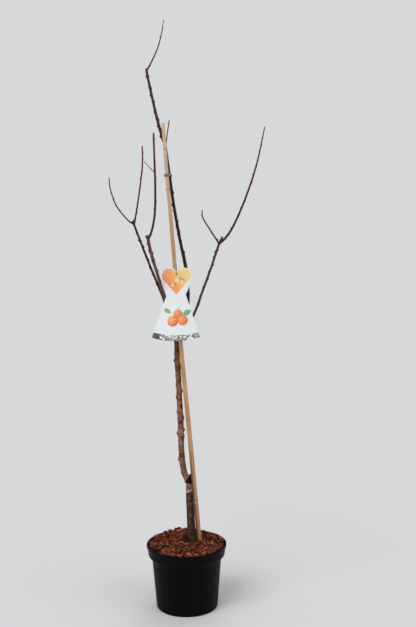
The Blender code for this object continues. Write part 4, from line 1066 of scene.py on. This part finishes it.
def labelPrint():
    look = {
        "white": (0.84, 0.86, 0.86), "blossom": (0.95, 0.88, 0.8), "fruit": (0.89, 0.22, 0.062),
        "blush": (0.72, 0.075, 0.032), "glow": (0.96, 0.47, 0.19), "leaf": (0.15, 0.4, 0.16),
        "leafPale": (0.4, 0.64, 0.38), "olive": (0.3, 0.3, 0.06), "stalk": (0.2, 0.11, 0.05),
        "ink": (0.022, 0.026, 0.026), "grey": (0.3, 0.31, 0.31), "dark": (0.05, 0.07, 0.066),
        "amber": (0.98, 0.45, 0.15),
        "sunset": [(0.05, (0.985, 0.24, 0.072)), (0.45, (0.98, 0.45, 0.15)), (0.88, (0.965, 0.7, 0.3))],
    }
    art = {  # places from the label's middle and the floor, then sizes and turns
        "sprigLeaves": [
            (-0.0195, 1.0395, 1.9), (-0.004, 1.035, -0.75), (0.012, 1.055, 1.7), (0.0225, 1.05, -0.4),
        ],
        "blossoms": [(-0.0125, 1.0345, 0.85, 0.8), (0.002, 1.0485, 1.15, 0.3), (0.0165, 1.046, 0.75, 1.3)],
        "leaves": [(0.033, 0.95, 0.032, 0.017, 0.5), (-0.027, 0.956, 0.026, 0.0135, 2.6)],
        "stalk": (0.0055, 0.96, 0.02, 0.0022, 1.15),
        "fruits": [  # radius and darkness
            (0.0055, 0.9465, 0.014, 0.5), (0.021, 0.927, 0.0157, 0.25), (-0.01, 0.9245, 0.0168, 0.0),
        ],
        "footArc": 0.313, "strip": 0.2955,
    }
    paint = Paint("printedLabel", 0.5)
    place = paint.place()
    z = paint.part(place, "Z")
    swing = (labelShape["widest"] - z).most(0.0) * labelShape["swing"]
    x = paint.part(place, "X") - labelShape["centre"] + swing

    def away(cx, cz, squash=1.0):
        dx, dz = x - cx, (z - cz) / squash
        return (dx * dx + dz * dz) ** 0.5

    def within(value, limit, soft=0.0005):
        return (value - limit).rise(soft, -soft)

    def lens(cx, cz, length, width, angle):  # a leaf: where two discs overlap
        c, s = math.cos(angle), math.sin(angle)
        u, v = (x - cx) * c + (z - cz) * s, (z - cz) * c - (x - cx) * s
        bulge = (1.0 - (u / (length / 2)) ** 2.0).most(0.0) * (width / 2)
        return within(abs(v), bulge) * abs(u).rise(length / 2, length / 2 - 0.0004), u, v

    # the heart: two discs, a wedge below them and what lies between them
    heart = within(away(-0.0221, 1.064), 0.0221, 0.0006).most(within(away(0.0221, 1.064), 0.0221, 0.0006))
    slope = ((z - 1.006) * 0.8917).least(0.0386)
    wedge = within(abs(x), slope) * z.rise(1.0496, 1.049) * z.rise(1.006, 1.0067)
    middle = within(abs(x), 0.022) * z.rise(1.0643, 1.0637) * z.rise(1.0305, 1.0311)
    tone = paint.noise(place, 38.0)
    sweep = x * 9.5 + (z - 1.045) * 7.5 + 0.44 + (tone - 0.5) * 0.25
    # a plain sprig across it, with small leaves and blossoms
    sprig = abs(z - 1.042 - x * 0.48 - x * x * 7.0) - 0.0009 + x * 0.012
    colour = paint.coat(
        look["white"], (heart.most(wedge).most(middle), paint.ramp(sweep, look["sunset"])),
        (sprig.rise(0.0005, -0.0003) * within(abs(x), 0.0235, 0.0004) * 0.8, look["stalk"]),
    )
    for cx, cz, turn in art["sprigLeaves"]:
        leaf, _, v = lens(cx, cz, 0.012, 0.006, turn)
        green = paint.mix((abs(v) - 0.0003).rise(0.0004, 0.0), look["olive"], look["leafPale"])
        colour = paint.mix(leaf * 0.85, colour, green)
    for cx, cz, size, turn in art["blossoms"]:
        reach = away(cx, cz)
        around = x.calc("ARCTAN2", z - cz, x - cx) * 2.5 + turn
        petal = abs(around.calc("COSINE", around)) * (0.0036 * size) + 0.0026 * size
        colour = paint.coat(
            colour, ((reach - petal).rise(0.0005, -0.0004) * 0.88, look["blossom"]),
            (reach.rise(0.0019 * size, 0.0012 * size) * 0.85, look["amber"]),
        )
    # two leaves, then three whole apricots on a short stalk
    for row in art["leaves"]:
        leaf, u, v = lens(*row)
        rib = u * 420.0 + abs(v) * 300.0
        ribs = (abs(rib.calc("SINE", rib)) * -1.0).rise(-0.3, -0.05) * 0.5
        vein = (abs(v) - 0.00035).rise(0.0003, 0.0).most(ribs)
        colour = paint.mix(leaf, colour, paint.mix(vein * 0.6 + tone * 0.3, look["leaf"], look["leafPale"]))
    colour = paint.mix(lens(*art["stalk"])[0] * 0.9, colour, look["stalk"])
    for cx, cz, radius, dark in art["fruits"]:
        shine = away(cx - radius * 0.35, cz + radius * 0.35).rise(0.0, radius * 1.5)
        blush = away(cx - radius * 0.2, cz + radius * 0.25).rise(0.0, radius * 1.45) ** 3.0
        crease = abs(away(cx + radius * 1.25, cz) - radius * 1.2).rise(0.0009, 0.0001)
        skin = paint.coat(
            look["glow"], (shine, look["fruit"]), (blush * 0.75 + (tone - 0.5) * 0.3, look["blush"]),
            (crease * 0.45, look["blush"]), (dark * 0.35, look["blush"]),
        )
        colour = paint.mix(within(away(cx, cz, 0.96), radius), colour, skin)
    # the strip of small grey blocks along the curved foot, which is an arc round a point above it
    depth = away(0.0, labelShape["foot"] + art["footArc"])
    low, high = art["strip"], art["footArc"]
    strip = depth.rise(low, low + 0.0003) * depth.rise(high, high - 0.0003)
    column = paint.node("CombineXYZ", inputs={0: x * 150.0, 1: depth * 190.0, 2: 4.2})
    gate = paint.node("SeparateColor", inputs={0: paint.cells(column, 1.0, 0.85, "Color")}, output="Red")
    cell = paint.cells(column, 1.0, 0.85, "Distance", "DISTANCE_TO_EDGE").rise(0.02, 0.06)
    ink = strip * (gate + x.rise(0.04, 0.062) * 0.3).rise(0.24, 0.3) * cell
    hatch = paint.noise(place, 260.0, 2.0).rise(0.6, 0.7)
    dark = strip * x.rise(-0.05, -0.0512) * x.rise(-0.0735, -0.0722) * (1.0 - hatch * 0.4)
    colour = paint.coat(
        colour, (ink * 0.95, paint.mix(gate.rise(0.4, 0.55), look["grey"], look["ink"])),
        (dark * 0.95, look["dark"]),
    )
    return paint.dress(colour, tone * 0.1 + 0.3, paint.bump(tone, 0.05, 0.002))


def labelBack():
    colours = (0.72, 0.745, 0.75), (0.79, 0.81, 0.81)
    return twoTone("labelBack", 0.5, (60.0, 4.0), (0.35, 0.7), colours, (0.12, 0.36), (0.05, 0.002))


def makeLabel(printed, plain):
    shape = labelShape
    sagitta, neck, heart = shape["corner"] - shape["foot"], shape["neckHalf"], shape["heartHalf"]
    arc = (shape["footHalf"] ** 2 + sagitta**2) / (2 * sagitta)
    sweep = math.asin(shape["footHalf"] / arc)
    turns = [sweep * k / 20 for k in range(21)]
    half = [(arc * math.sin(turn), shape["foot"] + arc * (1 - math.cos(turn))) for turn in turns]
    half += [  # from the skirt's side through the neck to the heart's lobe
        (neck + 0.0015, shape["neck"] - 0.004), (neck + 0.0007, shape["neck"] - 0.001),
        (neck + 0.0008, shape["neck"] + 0.002), (heart - 0.011, shape["widest"] - 0.045),
        (heart - 0.0065, shape["widest"] - 0.03), (heart - 0.0015, shape["widest"] - 0.012),
    ]
    lobe = shape["top"] - shape["widest"]
    for k in range(29):
        angle = math.radians(-5 + 148 * k / 28)
        half.append((heart - lobe + lobe * math.cos(angle), shape["widest"] + lobe * math.sin(angle)))
    outline = [*half, (0.0, shape["notch"]), *[(-x, z) for x, z in reversed(half[1:])]]
    turns, size = [k * math.tau / 28 for k in range(28)], shape["holeRadius"]
    hole = [(size * math.cos(turn), shape["hole"] + size * math.sin(turn)) for turn in turns]
    bm = curveMesh("label", [outline, hole])
    cuts = [("x", -0.07 + 0.005 * k) for k in range(29)] + [("y", 0.868 + 0.006 * k) for k in range(37)]
    for axis, at in cuts:
        co, no = ((at, 0, 0), (1, 0, 0)) if axis == "x" else ((0, at, 0), (0, 1, 0))
        geom = [*bm.verts, *bm.edges, *bm.faces]
        bmesh.ops.bisect_plane(bm, geom=geom, dist=1e-6, plane_co=co, plane_no=no)
    bmesh.ops.remove_doubles(bm, verts=bm.verts[:], dist=1e-6)
    for vert in bm.verts:
        x, z = vert.co.x, vert.co.y
        ripple = 0.0004 * noise.noise(Vector((x * 30, z * 25, 2.0)))
        middle = shape["centre"] - shape["swing"] * max(0.0, shape["widest"] - z)
        vert.co = Vector((x + middle, labelDepth(x, z) - shape["thick"] / 2 + ripple, z))
    bmesh.ops.recalc_face_normals(bm, faces=bm.faces[:])
    if sum(face.normal.y for face in bm.faces) > 0:
        bmesh.ops.reverse_faces(bm, faces=bm.faces[:])
    for vert in bm.verts:
        vert.co.y -= shape["thick"] / 2
    bmesh.ops.solidify(bm, geom=bm.faces[:], thickness=shape["thick"])
    for face in bm.faces:
        face.material_index = 0 if face.normal.y < -0.5 else 1
    sheet = finishMesh("pictureLabel", bm, [printed, plain], 40)
    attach(sheet, "root")
    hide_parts("label")
    print("label printed:", len(sheet.data.polygons), "faces")


def bandPlastic(name, deep, pale, gloss):
    ribs = (300.0, 300.0, 2600.0)
    return twoTone(name, 0.5, (240.0,), (0.35, 0.75), (deep, pale), (0.15, gloss), (0.3, 0.0004), ribs)


def makeTie(green, caneLine):
    tie = {
        "height": 1.372, "width": 0.0088, "thick": 0.0009, "slack": 0.0004, "bevel": 0.00022, "tail": 0.0036,
        "leader": (-0.0384, 0.009, 1.372), "leaderRadius": 0.0043, "slope": -0.135,
    }
    canePoint, ra = nearest(caneLine, tie["height"], lambda row: row[0].z)
    a, b, rb = canePoint.xy, Vector(tie["leader"]).xy, tie["leaderRadius"]
    across = b - a
    heading, spread = math.atan2(across.y, across.x), math.acos((ra - rb) / across.length)

    def belt(offset):
        points = []
        for centre, radius, first, turned, cuts in (
            (a, ra, heading + spread, math.tau - 2 * spread, 24), (b, rb, heading - spread, 2 * spread, 18),
        ):
            for k in range(cuts + 1):
                angle = first + turned * k / cuts
                points.append(tuple(centre + Vector((math.cos(angle), math.sin(angle))) * (radius + offset)))
        return points

    bevel, slack, thick = tie["bevel"], tie["slack"], tie["thick"]
    bm = curveMesh("tie", [belt(slack + thick - bevel), belt(slack + bevel)], tie["width"] / 2 - bevel, bevel)
    start = canePoint.x - (ra + slack + thick * 0.3)
    start += 0.001 - tie["tail"] / 2
    place = Matrix.Translation((start, canePoint.y, 0.0)) @ Matrix.Rotation(0.5, 4, "Z")
    for shift, long in ((-0.00048, 1.0), (0.00048, 0.86)):  # the two joined ends
        size = Matrix.Diagonal((tie["tail"] * long, thick * 0.8, tie["width"] * 0.98, 1.0))
        at = place @ Matrix.Translation(((1 - long) * 0.004, shift, 0)) @ size
        edges = edgesOf(bmesh.ops.create_cube(bm, size=1.0, matrix=at)["verts"])
        bmesh.ops.bevel(bm, geom=edges, offset=bevel, segments=2, affect="EDGES", profile=0.5, material=-1)
    lean = Matrix.Rotation(math.atan(tie["slope"]) * 0.85, 4, "Y")
    pivot = (canePoint + Vector(tie["leader"])) / 2
    pivot.z = tie["height"]
    bm.transform(Matrix.Translation(pivot) @ lean @ Matrix.Translation((-pivot.x, -pivot.y, 0.0)))
    band = finishMesh("greenTie", bm, [green], 40)
    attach(band, "root")
    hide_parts("tie")
    print("tie wrapped")


def makeLabelTie(wire):
    hanger = {
        "radius": 0.0007,
        "loop": [  # x, y and height above the label's hole, in mm
            (-24.5, 10.0, 3.0), (-17.0, 8.5, 2.0), (-15.5, 3.0, 1.0), (-17.0, -2.0, 0.0), (-19.3, -5.8, 0.0),
            (-20.5, -7.8, 0.0), (-20.7, -9.8, 1.0), (-20.9, -10.5, 4.0), (-20.8, -10.5, 9.5),
            (-20.6, -9.0, 14.5), (-21.2, -6.4, 15.0), (-25.5, -6.0, 13.5), (-30.5, -3.6, 11.0),
            (-32.8, 2.0, 8.0), (-30.0, 8.5, 5.0),
        ],
    }
    loop = [(x / 1000, y / 1000, labelShape["hole"] + rise / 1000) for x, y, rise in hanger["loop"]]
    closed = [*loop, *loop[:3]]
    points = [throughPoints(closed, 1 + k / 8) for k in range(8 * len(loop))]
    bm = curveMesh("labelTie", [points], radius=hanger["radius"])
    loopWire = finishMesh("labelWire", bm, [wire])
    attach(loopWire, "root")
    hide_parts("label_tie")
    print("label hung")


setStage()
makePot(potPlastic())
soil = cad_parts["soil"]
soil.data.materials.clear()
soil.data.materials.append(soilCrumb())
makeMulch(chipBark())
makeTree(treeBark())
makeSeal(sealWax())
caneRows = makeCane(bambooSkin())
makeLabel(labelPrint(), labelBack())
makeTie(bandPlastic("greyGreenBand", (0.11, 0.15, 0.105), (0.23, 0.27, 0.22), 0.42), caneRows)
makeLabelTie(bandPlastic("coatedWire", (0.08, 0.09, 0.082), (0.18, 0.195, 0.18), 0.34))
